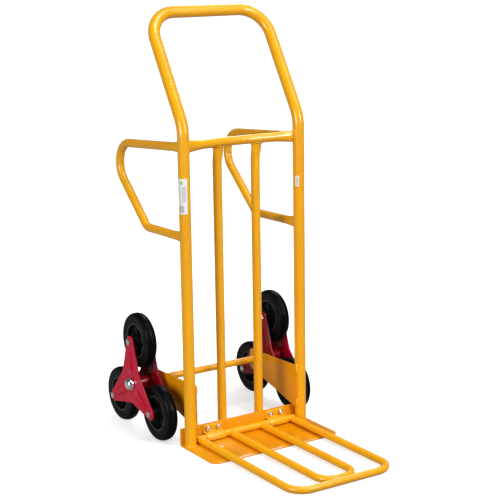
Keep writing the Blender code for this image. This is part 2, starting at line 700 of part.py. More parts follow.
def build_star(side, s):
    star = group(f"star_{side}_group", (s * WHEEL_X, AXLE_Y, AXLE_Z), frame_group)
    holes = [(0.0, 0.0, AXLE_BORE)]
    holes += [(y, z, WHEEL_BOLT_RADIUS + WELD_GAP) for _, (y, z) in star_centres()]
    for place, face in (("inner", STAR_INNER_X), ("outer", STAR_OUTER_X)):
        start = s * (face - WHEEL_X)
        bm = extruded([(start, y, z) for y, z in star_outline()], (s, 0, 0), STAR_PLATE)
        part = add_part(f"star_plate_{place}_{side}", bm, STAR_PAINT, parent=star)
        for number, (y, z, radius) in enumerate(holes):
            middle = (s * (face + STAR_PLATE / 2), AXLE_Y + y, AXLE_Z + z)
            low = (middle[0] - 0.01, *middle[1:])
            high = (middle[0] + 0.01, *middle[1:])
            cut(part, rod_cutter(f"star_hole_{place}_{side}_{number}", low, high, radius, 16))
    half = STAR_SPACE / 2 - WELD_GAP
    ring = [(-half, AXLE_BORE), (half, AXLE_BORE), (half, HUB_RADIUS), (-half, HUB_RADIUS)]
    add_part(f"star_hub_{side}", turned(ring, 24), STAR_PAINT, parent=star)
    head_seat = s * (STAR_SPACE / 2 + STAR_PLATE + WELD_GAP)
    shank = STAR_SPACE + 2 * STAR_PLATE + 2 * WELD_GAP + WHEEL_NUT + WHEEL_BOLT_SPARE
    for place, (y, z) in star_centres():
        bolt = hex_bolt(WHEEL_BOLT_RADIUS, WHEEL_BOLT_ACROSS, WHEEL_HEAD, shank, s)
        add_part(f"wheel_bolt_{side}_{place}", bolt, ZINC, (head_seat, y, z), star)
        nut = hex_nut(WHEEL_BOLT_RADIUS + WELD_GAP, WHEEL_BOLT_ACROSS, WHEEL_NUT)
        add_part(f"wheel_nut_{side}_{place}", turn_to(nut, (-s, 0, 0)), ZINC, (-head_seat, y, z), star)
        build_wheel(f"{side}_{place}", (0, y, z), star)


# ------------------------------------------------------------------ wheels
def tyre_profile():
    """(x, radius) round the tyre's section: flat bore, straight sides, rounded crown."""
    half = TYRE_WIDTH / 2
    shoulder = WHEEL_RADIUS - TYRE_SHOULDER
    crown = []
    for degrees in (0, 30, 60, 90, 120, 150, 180):
        angle = math.radians(degrees)
        crown.append((half * math.cos(angle), shoulder + TYRE_SHOULDER * math.sin(angle) ** 0.8))
    return [(-half + 0.003, TYRE_BORE), (half - 0.003, TYRE_BORE), *crown]


def rim_profile():
    """(x, radius) round the rim's section: bore, hub ends, web and barrel."""
    hub = STAR_SPACE / 2 - WHEEL_PLAY
    bore = WHEEL_BOLT_RADIUS + RUN_GAP
    barrel = TYRE_BORE - WELD_GAP
    inside = barrel - RIM_WALL
    half, web = RIM_WIDTH / 2, RIM_WEB / 2
    right = [(hub, bore), (hub, RIM_HUB_RADIUS), (web, RIM_HUB_RADIUS)]
    right += [(web, inside), (half, inside), (half, barrel)]
    left = [(-x, r) for x, r in reversed(right)]
    return [*right, *left]


def build_wheel(name, centre, star):
    wheel = group(f"wheel_{name}_group", centre, star)
    add_part(f"tyre_{name}", turned(tyre_profile(), WHEEL_SIDES), RUBBER, parent=wheel)
    add_part(f"rim_{name}", turned(rim_profile(), WHEEL_SIDES), RIM_PLASTIC, parent=wheel)


for side, sign in SIDES.items():
    build_star(side, sign)


# ------------------------------------------------------------------ paper labels
def build_label(side, s):
    """A thin curved sheet against the front of an upright."""
    low, high, middle, spread = LABELS[side]
    inner = FRAME_RADIUS + WELD_GAP
    outer = inner + LABEL_SHEET
    start = -math.pi / 2 - middle - spread / 2
    steps = 8
    angles = [start + spread * i / steps for i in range(steps + 1)]
    outline = [(outer * math.cos(a), outer * math.sin(a), 0) for a in angles]
    outline += [(inner * math.cos(a), inner * math.sin(a), 0) for a in reversed(angles)]
    bm = extruded(outline, (0, 0, 1), high - low)
    add_part(f"label_{side}", bm, PAPER, (s * UPRIGHT_X, 0, low), frame_group)


for side, sign in SIDES.items():
    build_label(side, sign)
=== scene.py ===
"""A stair-climbing sack truck: bent tube frame, folding toe frame and two three-wheel stars.

Metres, +Z up, the load side faces -Y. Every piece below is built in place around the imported
frame, from the main tube outwards, in the order in which the truck is put together.
"""

import math

import bmesh
import bpy
from mathutils import Matrix, Vector


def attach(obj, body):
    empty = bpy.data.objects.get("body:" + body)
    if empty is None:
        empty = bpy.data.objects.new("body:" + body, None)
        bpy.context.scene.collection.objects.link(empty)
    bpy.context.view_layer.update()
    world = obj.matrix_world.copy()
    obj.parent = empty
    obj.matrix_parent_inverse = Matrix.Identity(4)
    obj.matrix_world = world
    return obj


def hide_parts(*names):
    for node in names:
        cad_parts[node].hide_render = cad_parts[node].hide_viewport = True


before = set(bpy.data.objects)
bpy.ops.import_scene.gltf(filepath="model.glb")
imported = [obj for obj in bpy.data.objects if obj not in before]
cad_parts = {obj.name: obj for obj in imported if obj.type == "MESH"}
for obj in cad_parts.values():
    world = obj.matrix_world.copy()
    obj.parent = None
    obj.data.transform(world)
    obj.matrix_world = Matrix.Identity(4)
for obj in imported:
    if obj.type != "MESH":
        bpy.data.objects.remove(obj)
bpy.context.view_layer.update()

LEFT, RIGHT = -1, 1
SIDES = {"left": LEFT, "right": RIGHT}


# ---------------------------------------------------------------- main tube
# One length of 32 mm steel tube. It runs up from the toe plate, leans back, crosses over as the
# hand bar and comes down the other side. Four bends, then yellow-orange powder coat, baked on.
class Wire:
    """A number on its way through a finish. Arithmetic on it adds Math nodes."""

    def __init__(self, finish, socket):
        self.finish = finish
        self.socket = socket

    def math(self, operation, *values):
        return self.finish.node("ShaderNodeMath", {"operation": operation}, dict(enumerate(values)))

    def __add__(self, other):
        return self.math("ADD", self, other)

    def __radd__(self, other):
        return self.math("ADD", other, self)

    def __sub__(self, other):
        return self.math("SUBTRACT", self, other)

    def __rsub__(self, other):
        return self.math("SUBTRACT", other, self)

    def __mul__(self, other):
        return self.math("MULTIPLY", self, other)

    def __rmul__(self, other):
        return self.math("MULTIPLY", other, self)

    def __truediv__(self, other):
        return self.math("DIVIDE", self, other)

    def rise(self, low, high):
        """0 below low, 1 above high and a smooth climb between them."""
        settings = {"interpolation_type": "SMOOTHSTEP"}
        return self.finish.node("ShaderNodeMapRange", settings, {0: self, 1: low, 2: high})

    def between(self, low, high, soft):
        """1 from low to high, fading to 0 over a soft edge."""
        return self.rise(low - soft, low + soft) * (1 - self.rise(high - soft, high + soft))


class Finish:
    """A paint, plating or rubber. What is the same all over sits on the shader's own sockets."""

    def __init__(self, name, **sockets):
        self.material = bpy.data.materials.new(name)
        self.material.use_nodes = True
        self.nodes = self.material.node_tree.nodes
        self.links = self.material.node_tree.links
        self.shader = self.nodes["Principled BSDF"]
        for socket, value in sockets.items():
            self.shader.inputs[socket.replace("_", " ")].default_value = value
        self.place = self.node("ShaderNodeTexCoord", {}, {}, "Object")

    def node(self, kind, settings, inputs, output=0):
        made = self.nodes.new(kind)
        for name, value in settings.items():
            setattr(made, name, value)
        for key, value in inputs.items():
            if isinstance(value, Wire):
                self.links.new(value.socket, made.inputs[key])
            else:
                made.inputs[key].default_value = value
        return Wire(self, made.outputs[output])

    def grain(self, scale, detail=2.0, roughness=0.5):
        """Soft random patches, from 0 to 1, with about scale of them in a metre."""
        inputs = {"Vector": self.place, "Scale": scale, "Detail": detail, "Roughness": roughness}
        return self.node("ShaderNodeTexNoise", {}, inputs)

    def blend(self, factor, first, second):
        """One colour going over to another. Each may be a colour or a wire."""
        wide = [c if isinstance(c, Wire) else (*c, 1.0) for c in (first, second)]
        inputs = {"Factor": factor, 6: wide[0], 7: wide[1]}
        return self.node("ShaderNodeMix", {"data_type": "RGBA"}, inputs, 2)

    def axis(self, name):
        """One coordinate of the place, in metres."""
        return self.node("ShaderNodeSeparateXYZ", {}, {0: self.place}, "XYZ".index(name))

    def colour(self, wire):
        self.links.new(wire.socket, self.shader.inputs["Base Color"])

    def roughness(self, wire):
        self.links.new(wire.socket, self.shader.inputs["Roughness"])

    def bump(self, height, distance, strength):
        inputs = {"Height": height, "Distance": distance, "Strength": strength}
        made = self.node("ShaderNodeBump", {}, inputs)
        self.links.new(made.socket, self.shader.inputs["Normal"])


def powder_coat(name, light, deep):
    """Baked polyester powder: glossy, with orange peel and a little cloudiness in the film."""
    coat = Finish(name, IOR=1.5, Specular_IOR_Level=0.5)
    film = coat.grain(7.0, 3.0).rise(0.30, 0.72)
    speckle = coat.grain(1400.0, 1.0).rise(0.35, 0.8)
    coat.colour(coat.blend(speckle * 0.10, coat.blend(film * 0.55, light, deep), deep))
    coat.roughness(0.13 + coat.grain(26.0, 3.0) * 0.08 + speckle * 0.03)
    peel = coat.grain(310.0, 2.0, 0.45) + coat.grain(1100.0, 1.0) * 0.10
    coat.bump(peel, 0.000022, 0.5)
    return coat.material


TUBE_PAINT = powder_coat("tube_powder_coat", (0.86, 0.405, 0.006), (0.80, 0.33, 0.003))


def finish_piece(name, mesh, material, body, nodes, sharp=38.0, outward=True):
    """Turns a bmesh into a piece of the truck: shaded, painted and riding on its body."""
    bmesh.ops.remove_doubles(mesh, verts=mesh.verts, dist=1e-6)
    if outward:
        bmesh.ops.recalc_face_normals(mesh, faces=mesh.faces)
    data = bpy.data.meshes.new(name)
    mesh.to_mesh(data)
    mesh.free()
    data.shade_smooth()
    data.set_sharp_from_angle(angle=math.radians(sharp))
    data.materials.append(material)
    piece = bpy.data.objects.new(name, data)
    bpy.context.scene.collection.objects.link(piece)
    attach(piece, body)
    if nodes:
        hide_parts(*nodes)
    return piece


class BentTube:
    """A tube on the bender: the open end is pushed out straight or drawn round a former."""

    def __init__(self, start, heading, radius, sides=40):
        self.mesh = bmesh.new()
        self.point = Vector(start)
        self.heading = Vector(heading).normalized()
        turn = self.heading.to_track_quat("Z", "X").to_matrix().to_4x4()
        bmesh.ops.create_circle(
            self.mesh, segments=sides, radius=radius, matrix=Matrix.Translation(self.point) @ turn
        )
        self.ring = list(self.mesh.edges)

    def push(self, length, steps):
        for _ in range(steps):
            pushed = bmesh.ops.extrude_edge_only(self.mesh, edges=self.ring)["geom"]
            verts = [v for v in pushed if isinstance(v, bmesh.types.BMVert)]
            bmesh.ops.translate(self.mesh, verts=verts, vec=self.heading * (length / steps))
            self.ring = [e for e in pushed if isinstance(e, bmesh.types.BMEdge)]
            self.point += self.heading * (length / steps)

    def bend(self, toward, angle, radius, steps=12):
        axis = self.heading.cross(Vector(toward)).normalized()
        centre = self.point + axis.cross(self.heading) * radius
        verts = list({v for e in self.ring for v in e.verts})
        drawn = bmesh.ops.spin(
            self.mesh, geom=verts + self.ring, cent=centre, axis=axis, angle=angle, steps=steps,
            use_merge=False,
        )["geom_last"]
        self.ring = [e for e in drawn if isinstance(e, bmesh.types.BMEdge)]
        turn = Matrix.Rotation(angle, 3, axis)
        self.point = centre + turn @ (self.point - centre)
        self.heading = turn @ self.heading

    def close(self):
        bmesh.ops.holes_fill(self.mesh, edges=self.mesh.edges, sides=0)
        return self.mesh


TUBE_RADIUS = 0.0160
UPRIGHT_X = 0.1843
FOOT_Z = 0.0038
LEAN_Z = 0.8860              # where upright and leaning part would cross
BAR_Y, BAR_Z = 0.1755, 1.1750
LEAN_BEND, BAR_BEND = 0.100, 0.080

lean = Vector((0, BAR_Y, BAR_Z - LEAN_Z))
lean_angle = Vector((0, 0, 1)).angle(lean)
lean_reach = LEAN_BEND * math.tan(lean_angle / 2)
main_tube = BentTube((-UPRIGHT_X, 0, FOOT_Z), (0, 0, 1), TUBE_RADIUS, 48)
main_tube.push(LEAN_Z - FOOT_Z - lean_reach, 4)
main_tube.bend(lean, lean_angle, LEAN_BEND)
main_tube.push(lean.length - lean_reach - BAR_BEND, 2)
main_tube.bend((1, 0, 0), math.pi / 2, BAR_BEND, 20)
main_tube.push(2 * (UPRIGHT_X - BAR_BEND), 2)
main_tube.bend(-lean, math.pi / 2, BAR_BEND, 20)
main_tube.push(lean.length - lean_reach - BAR_BEND, 2)
main_tube.bend((0, 0, -1), lean_angle, LEAN_BEND)
main_tube.push(LEAN_Z - FOOT_Z - lean_reach, 4)
finish_piece("tube_main", main_tube.close(), TUBE_PAINT, "frame", ["main_frame_tube"])


# ---------------------------------------------------------------- weld beads
# Short runs of weld hold every tube end. They are laid by hand, so the bead is a row of
# overlapping ripples, and the powder coat lies over them, a little thicker in the corners.
RIPPLE = 0.0024              # length of one ripple


def weld_round(name, centre, out, side, round_radius, half_side, half_up, bead=0.0023, lowest=0.0):
    """A bead where a tube end meets the round of another tube. centre is on that tube's centre
    line, out points along the tube that ends there and side lies across both. A bead over a plate
    is ground flat at the lowest height."""
    out, side = Vector(out).normalized(), Vector(side).normalized()
    up = out.cross(side)
    mesh = bmesh.new()
    section = Matrix.Translation((0, 1, 0))
    bmesh.ops.create_circle(mesh, segments=10, radius=0.1, matrix=section)
    around = math.pi * (half_side + half_up)
    bmesh.ops.spin(
        mesh, geom=mesh.verts[:] + mesh.edges[:], cent=(0, 0, 0), axis=(1, 0, 0),
        angle=2 * math.pi, steps=96, use_merge=True,
    )
    bmesh.ops.remove_doubles(mesh, verts=mesh.verts, dist=1e-5)
    ripples = round(around / RIPPLE)
    for vert in mesh.verts:
        angle = math.atan2(vert.co.z, vert.co.y)
        wide = (math.hypot(vert.co.y, vert.co.z) - 1) / 0.1
        deep = vert.co.x / 0.1
        outward = side * math.cos(angle) + up * math.sin(angle)
        aside, above = half_side * math.cos(angle), half_up * math.sin(angle)
        seat = math.sqrt(max(0.0, round_radius**2 - aside**2))
        swell = bead * (1 + 0.16 * math.sin(angle * ripples))
        vert.co = Vector(centre) + out * seat + side * aside + up * above
        vert.co += (outward * wide + out * deep) * swell
        vert.co.z = max(vert.co.z, lowest)
    finish_piece(name, mesh, TUBE_PAINT, "frame", [], 60.0)


def weld_line(name, start, end, bead=0.0024, body="frame"):
    """A straight bead with rounded ends."""
    start, end = Vector(start), Vector(end)
    run = end - start
    mesh = bmesh.new()
    bmesh.ops.create_uvsphere(mesh, u_segments=14, v_segments=max(16, round(run.length / 0.0006)), radius=1)
    for vert in mesh.verts:
        height = max(-1.0, min(1.0, vert.co.z))
        flat = Vector((vert.co.x, vert.co.y, 0))
        if flat.length > 1e-6:
            swell = 1 + 0.14 * math.sin(height * run.length * math.pi / RIPPLE)
            flat = flat.normalized() * bead * math.sqrt(max(0.0, 1 - abs(height) ** 5)) * swell
        vert.co = flat + Vector((0, 0, height * run.length / 2))
    turn = run.to_track_quat("Z", "X").to_matrix().to_4x4()
    bmesh.ops.transform(mesh, matrix=Matrix.Translation((start + end) / 2) @ turn, verts=mesh.verts)
    return finish_piece(name, mesh, TUBE_PAINT, body, [], 60.0)


# ---------------------------------------------------------------- cross tube
# A 25 mm tube bowed backwards between the uprights, so that a drum or sack lies in it. Its ends
# are pressed tall and flat before they are welded to the insides of the uprights.
CROSS_RADIUS = 0.0125
CROSS_Z = 0.8315
CROSS_BOW = 0.0280
CROSS_END_UP, CROSS_END_SIDE = 0.0165, 0.0065
PRESSED = 0.067              # length of a pressed end


def ease(share):
    share = max(0.0, min(1.0, share))
    return share * share * (3 - 2 * share)


def between(share, first, second):
    return first + (second - first) * share


arc_radius = (UPRIGHT_X**2 + CROSS_BOW**2) / (2 * CROSS_BOW)
arc_half = math.asin(UPRIGHT_X / arc_radius)
cross = BentTube((-UPRIGHT_X, 0, CROSS_Z), (math.cos(arc_half), math.sin(arc_half), 0), CROSS_RADIUS)
cross.bend((0, -1, 0), 2 * arc_half, arc_radius, 60)
arc_centre = Vector((0, CROSS_BOW - arc_radius, CROSS_Z))
for vert in cross.mesh.verts:
    from_centre = vert.co - arc_centre
    level = Vector((from_centre.x, from_centre.y, 0))
    pressed = ease((UPRIGHT_X - TUBE_RADIUS * 0.5 - abs(vert.co.x)) / PRESSED)
    tall = between(pressed, CROSS_END_UP / CROSS_RADIUS, 1.0)
    thin = between(pressed, CROSS_END_SIDE / CROSS_RADIUS, 1.0)
    reach = arc_radius + (level.length - arc_radius) * thin
    vert.co = arc_centre + level.normalized() * reach + Vector((0, 0, from_centre.z * tall))
finish_piece("tube_cross", cross.close(), TUBE_PAINT, "frame", ["cross_tube"])
for side, sign in SIDES.items():
    weld_round(
        f"weld_cross_{side}", (sign * UPRIGHT_X, 0, CROSS_Z), (-sign, 0, 0), (0, 1, 0),
        TUBE_RADIUS, CROSS_END_SIDE, CROSS_END_UP,
    )


# ---------------------------------------------------------------- inner tubes
# Two upright 25 mm tubes behind the load. Each top is pressed wide and thin under the cross
# tube and welded all round, and each foot is welded to the back of the toe plate's flange.
INNER_X, INNER_Y = 0.0614, 0.0326
INNER_FOOT_Z = 0.0060
INNER_TOP_WIDE, INNER_TOP_DEEP = 0.0163, 0.0065
INNER_PRESSED = 0.050
inner_top = CROSS_Z - CROSS_RADIUS

for side, sign in SIDES.items():
    x = sign * INNER_X
    inner = BentTube((x, INNER_Y, INNER_FOOT_Z), (0, 0, 1), CROSS_RADIUS)
    inner.push(inner_top - INNER_PRESSED - INNER_FOOT_Z, 3)
    inner.push(INNER_PRESSED + 0.008, 16)
    cross_y = arc_centre.y + math.sqrt(arc_radius**2 - INNER_X**2)
    for vert in inner.mesh.verts:
        pressed = ease((inner_top - vert.co.z) / INNER_PRESSED)
        lean_in = (1 - pressed) * (cross_y - INNER_Y)
        wide = between(pressed, INNER_TOP_WIDE / CROSS_RADIUS, 1.0)
        deep = between(pressed, INNER_TOP_DEEP / CROSS_RADIUS, 1.0)
        vert.co.x = x + (vert.co.x - x) * wide
        vert.co.y = INNER_Y + lean_in + (vert.co.y - INNER_Y) * deep
    finish_piece(
        f"tube_inner_{side}", inner.close(), TUBE_PAINT, "frame", [f"inner_tube_{side}"]
    )
    weld_round(
        f"weld_inner_top_{side}", (x, cross_y, CROSS_Z), (0, 0, -1), (0, 1, 0), CROSS_RADIUS,
        INNER_TOP_DEEP, INNER_TOP_WIDE,
    )


# ---------------------------------------------------------------- side handle loops
# A 24 mm tube bent into a slanted grip behind each upright, for the hand that steadies the
# load on stairs. Both ends are pressed tall and flat and welded to the back of the upright.
LOOP_X = 0.1818
LOOP_RADIUS = 0.0120
LOOP_TOP_Z, LOOP_LOW_Z = 0.8310, 0.5870
LOOP_TOP_CORNER = Vector((0, 0.4570, 0.8000))
LOOP_LOW_CORNER = Vector((0, 0.2165, 0.5830))
LOOP_TOP_BEND, LOOP_LOW_BEND = 0.062, 0.030
LOOP_END_UP, LOOP_END_SIDE = 0.0155, 0.0065
LOOP_PRESSED = 0.048

for side, sign in SIDES.items():
    aside = Vector((sign * LOOP_X, 0, 0))
    top = Vector((0, 0, LOOP_TOP_Z))
    low = Vector((0, 0, LOOP_LOW_Z))
    back, grip, forward = LOOP_TOP_CORNER - top, LOOP_LOW_CORNER - LOOP_TOP_CORNER, low - LOOP_LOW_CORNER
    top_turn, low_turn = back.angle(grip), grip.angle(forward)
    top_reach = LOOP_TOP_BEND * math.tan(top_turn / 2)
    low_reach = LOOP_LOW_BEND * math.tan(low_turn / 2)
    loop = BentTube(aside + top, back, LOOP_RADIUS)
    end = TUBE_RADIUS + LOOP_PRESSED
    loop.push(end, 20)
    loop.push(back.length - top_reach - end, 2)
    loop.bend(grip, top_turn, LOOP_TOP_BEND, 20)
    loop.push(grip.length - top_reach - low_reach, 2)
    loop.bend(forward, low_turn, LOOP_LOW_BEND, 14)
    loop.push(forward.length - low_reach - end, 2)
    loop.push(end, 20)
    for vert in loop.mesh.verts:
        pressed = ease((vert.co.y - TUBE_RADIUS) / LOOP_PRESSED)
        line = (top, back) if vert.co.z > (LOOP_TOP_Z + LOOP_LOW_Z) / 2 else (low, -forward)
        middle = line[0].z + line[1].z / line[1].y * vert.co.y
        if pressed < 1:
            vert.co.z = middle + (vert.co.z - middle) * between(pressed, LOOP_END_UP / LOOP_RADIUS, 1.0)
            vert.co.x = aside.x + (vert.co.x - aside.x) * between(pressed, LOOP_END_SIDE / LOOP_RADIUS, 1.0)
    finish_piece(
        f"tube_side_{side}", loop.close(), TUBE_PAINT, "frame", [f"side_handle_{side}"]
    )
    for place, z in (("top", LOOP_TOP_Z), ("low", LOOP_LOW_Z)):
        weld_round(
            f"weld_side_{place}_{side}", (sign * LOOP_X, 0, z), (0, 1, 0), (1, 0, 0), TUBE_RADIUS,
            LOOP_END_SIDE, LOOP_END_UP,
        )


# ---------------------------------------------------------------- toe plate
# A 3.5 mm steel sheet that slides under the load. Its back edge is folded up into a flange, the
# front corners are cut round, and it is sprayed the same colour. The sheet paint is set a deeper
# orange than the tubes', partly its own tone and partly painted shade.
SHEET_PAINT = powder_coat("sheet_powder_coat", (0.78, 0.305, 0.002), (0.70, 0.240, 0.001))
TOE_SHEET = 0.0035
TOE_X, TOE_FRONT_Y = 0.2068, -0.158
TOE_FLANGE_Y, TOE_FLANGE_Z = 0.0198, 0.0500   # back face and top of the flange
TOE_FOLD = 0.0038            # outside radius of the fold
TOE_CORNER = 0.018
SHEET_EDGE = 0.0005          # how far a sheet's cut edges are broken


def sheet_run(mesh, edges, move, steps=1):
    """Pushes a sheet's free edge on by a straight run."""
    for _ in range(steps):
        pushed = bmesh.ops.extrude_edge_only(mesh, edges=edges)["geom"]
        verts = [v for v in pushed if isinstance(v, bmesh.types.BMVert)]
        bmesh.ops.translate(mesh, verts=verts, vec=Vector(move) / steps)
        edges = [e for e in pushed if isinstance(e, bmesh.types.BMEdge)]
    return edges


def sheet_fold(mesh, edges, centre, angle, steps=8):
    """Folds a sheet's free edge round a line along X."""
    verts = list({v for e in edges for v in e.verts})
    folded = bmesh.ops.spin(
        mesh, geom=verts + edges, cent=centre, axis=(1, 0, 0), angle=angle, steps=steps, use_merge=False
    )["geom_last"]
    return [e for e in folded if isinstance(e, bmesh.types.BMEdge)]


def thicken(mesh, thickness):
    """Gives a sheet its thickness on the side its faces point away from, and breaks its edges."""
    bmesh.ops.solidify(mesh, geom=mesh.faces[:], thickness=thickness)
    bmesh.ops.recalc_face_normals(mesh, faces=mesh.faces)
    corners = [e for e in mesh.edges if e.calc_face_angle(0) > math.radians(60)]
    bmesh.ops.bevel(
        mesh, geom=corners, offset=SHEET_EDGE, offset_type="OFFSET", segments=2, profile=0.5,
        affect="EDGES", material=-1, clamp_overlap=True,
    )


def first_edge(mesh, start, end, cuts=0):
    """The edge that a sheet is drawn out from."""
    edge = mesh.edges.new([mesh.verts.new(start), mesh.verts.new(end)])
    bmesh.ops.subdivide_edges(mesh, edges=[edge], cuts=cuts)
    return mesh.edges[:]


def face_toward(mesh, direction):
    """Turns an open sheet so that most of its area faces a direction."""
    bmesh.ops.recalc_face_normals(mesh, faces=mesh.faces)
    if sum(f.normal.dot(Vector(direction)) * f.calc_area() for f in mesh.faces) < 0:
        bmesh.ops.reverse_faces(mesh, faces=mesh.faces)


toe = bmesh.new()
free = first_edge(toe, (-TOE_X, TOE_FRONT_Y, TOE_SHEET), (TOE_X, TOE_FRONT_Y, TOE_SHEET))
fold_y = TOE_FLANGE_Y - TOE_FOLD
free = sheet_run(toe, free, (0, fold_y - TOE_FRONT_Y, 0), 3)
free = sheet_fold(toe, free, (0, fold_y, TOE_FOLD), math.pi / 2)
free = sheet_run(toe, free, (0, 0, TOE_FLANGE_Z - TOE_FOLD))
front = [v for v in toe.verts if v.co.y < TOE_FRONT_Y + 1e-6]
bmesh.ops.bevel(
    toe, geom=front, offset=TOE_CORNER, offset_type="OFFSET", segments=6, profile=0.38,
    affect="VERTICES", material=-1,
)
face_toward(toe, (0, -0.2, 1))
thicken(toe, TOE_SHEET)
finish_piece("sheet_toe_plate", toe, SHEET_PAINT, "frame", ["toe_plate"])
for side, sign in SIDES.items():
    weld_round(
        f"weld_foot_{side}", (sign * UPRIGHT_X, 0, TOE_SHEET + 0.0006), (0, 0, 1), (1, 0, 0), 0.0,
        TUBE_RADIUS, TUBE_RADIUS, 0.0021,
    )
    for edge in (-1, 1):
        weld_x = sign * INNER_X + edge * CROSS_RADIUS
        weld_line(
            f"weld_inner_foot_{side}_{'in' if edge * sign < 0 else 'out'}",
            (weld_x, TOE_FLANGE_Y + 0.006, 0.012), (weld_x, TOE_FLANGE_Y + 0.006, 0.046),
        )


# ---------------------------------------------------------------- side plates
# A tapering 3 mm plate against the inside of each upright carries the axle well behind it. Its
# front edge is only welded at the top and at the bottom, with an open seam between.
PLATE_SHEET = 0.003
PLATE_X = 0.1665             # middle of its thickness
PLATE_FRONT_Y, PLATE_REAR_Y = -0.0060, 0.2370
PLATE_FRONT_Z = (0.0455, 0.1725)
PLATE_REAR_Z = (0.1075, 0.1655)
PLATE_CORNER = 0.008

for side, sign in SIDES.items():
    plate = bmesh.new()
    x = sign * (PLATE_X - PLATE_SHEET / 2)
    corners = [
        (x, PLATE_FRONT_Y, PLATE_FRONT_Z[0]), (x, PLATE_REAR_Y, PLATE_REAR_Z[0]),
        (x, PLATE_REAR_Y, PLATE_REAR_Z[1]), (x, PLATE_FRONT_Y, PLATE_FRONT_Z[1]),
    ]
    plate.faces.new([plate.verts.new(c) for c in corners])
    rear = [v for v in plate.verts if v.co.y > PLATE_REAR_Y - 1e-6]
    bmesh.ops.bevel(
        plate, geom=rear, offset=PLATE_CORNER, offset_type="OFFSET", segments=6, profile=0.5,
        affect="VERTICES", material=-1,
    )
    face_toward(plate, (-sign, 0, 0))
    thicken(plate, PLATE_SHEET)
    finish_piece(
        f"sheet_side_{side}", plate, SHEET_PAINT, "frame", [f"side_plate_{side}"]
    )
    seam_x = sign * (PLATE_X + PLATE_SHEET / 2)
    for place, low_z, high_z in (("top", 0.148, 0.176), ("low", 0.050, 0.072)):
        weld_line(
            f"weld_plate_{place}_{side}", (seam_x, PLATE_FRONT_Y - 0.0010, low_z),
            (seam_x, PLATE_FRONT_Y - 0.0010, high_z), 0.0040,
        )
    for place, low_z, high_z in (("top", 0.130, 0.166), ("low", 0.064, 0.094)):
        weld_line(
            f"weld_plate_back_{place}_{side}", (seam_x, 0.0135, low_z), (seam_x, 0.0135, high_z), 0.0028
        )


# ---------------------------------------------------------------- axle, spacers and end caps
# A 20 mm steel bar goes through both side plates and both stars. A tube spacer keeps each star
# off its plate, and a domed chrome cap is driven on each end of the bar.
AXLE_RADIUS = 0.0100
AXLE_Y = 0.2060
WHEEL_RADIUS = 0.0788
STAR_ARM = 0.1235            # from the axle to each wheel bolt
AXLE_Z = WHEEL_RADIUS + STAR_ARM / 2
AXLE_END_X = 0.2620
STAR_INNER_X, STAR_FACE_X = 0.1910, 0.2570
SPACER_RADIUS = 0.0150
CAP_RADIUS, CAP_HEIGHT = 0.0190, 0.0150

chrome = Finish("chrome_plate", Metallic=1.0)
smudge = chrome.grain(60.0, 4.0).rise(0.45, 0.8)
chrome.colour(chrome.blend(smudge * 0.5, (0.86, 0.87, 0.88), (0.74, 0.75, 0.75)))
chrome.roughness(0.035 + smudge * 0.07)
CHROME = chrome.material


def lathe(profile, sides, centre=(0, 0, 0), closed=True):
    """Turns an (x, radius) profile about a line along X through the centre."""
    mesh = bmesh.new()
    verts = [mesh.verts.new((x, 0, r)) for x, r in profile]
    edges = [mesh.edges.new(pair) for pair in zip(verts, verts[1:])]
    if closed:
        edges.append(mesh.edges.new((verts[-1], verts[0])))
    bmesh.ops.spin(
        mesh, geom=verts + edges, cent=(0, 0, 0), axis=(1, 0, 0), angle=2 * math.pi, steps=sides,
        use_merge=True,
    )
    bmesh.ops.remove_doubles(mesh, verts=mesh.verts, dist=1e-6)
    bmesh.ops.translate(mesh, verts=mesh.verts, vec=centre)
    return mesh


axle_middle = Vector((0, AXLE_Y, AXLE_Z))
half_bar = [
    (AXLE_END_X, 0.0), (AXLE_END_X, AXLE_RADIUS - 0.001), (AXLE_END_X - 0.001, AXLE_RADIUS),
]
bar_profile = half_bar + [(-x, r) for x, r in reversed(half_bar)]
finish_piece(
    "bar_axle", lathe(bar_profile, 48, axle_middle, closed=False), TUBE_PAINT, "frame",
    ["axle"],
)
for side, sign in SIDES.items():
    start, end = PLATE_X + PLATE_SHEET / 2 + 0.0003, STAR_INNER_X - 0.0005
    ring = [
        (start, AXLE_RADIUS + 0.0003), (end, AXLE_RADIUS + 0.0003), (end, SPACER_RADIUS - 0.0008),
        (end - 0.0008, SPACER_RADIUS), (start + 0.0008, SPACER_RADIUS), (start, SPACER_RADIUS - 0.0008),
    ]
    spacer = lathe([(sign * x, r) for x, r in ring], 40, axle_middle)
    finish_piece(
        f"spacer_{side}", spacer, TUBE_PAINT, "frame", [f"axle_spacer_{side}"]
    )
    weld_round(
        f"weld_axle_{side}", (sign * (PLATE_X - PLATE_SHEET / 2 - 0.0008), AXLE_Y, AXLE_Z), (-sign, 0, 0),
        (0, 1, 0), 0.0, AXLE_RADIUS + 0.0006, AXLE_RADIUS + 0.0006, 0.0022,
    )
    foot = STAR_FACE_X + 0.0005
    dome = [
        (foot + CAP_HEIGHT * math.sin(a), CAP_RADIUS * 0.93 * math.cos(a) ** 0.55)
        for a in (math.radians(degrees) for degrees in range(12, 90, 6))
    ]
    cap_profile = [
        (foot, 0.0), (foot, CAP_RADIUS - 0.0006), (foot + 0.0006, CAP_RADIUS), (foot + 0.0016, CAP_RADIUS),
        (foot + 0.0022, CAP_RADIUS - 0.0005), *dome, (foot + CAP_HEIGHT, 0.0),
    ]
    cap = lathe([(sign * x, r) for x, r in cap_profile], 72, axle_middle, closed=False)
    finish_piece(f"cap_{side}", cap, CHROME, "frame", [f"axle_cap_{side}"])


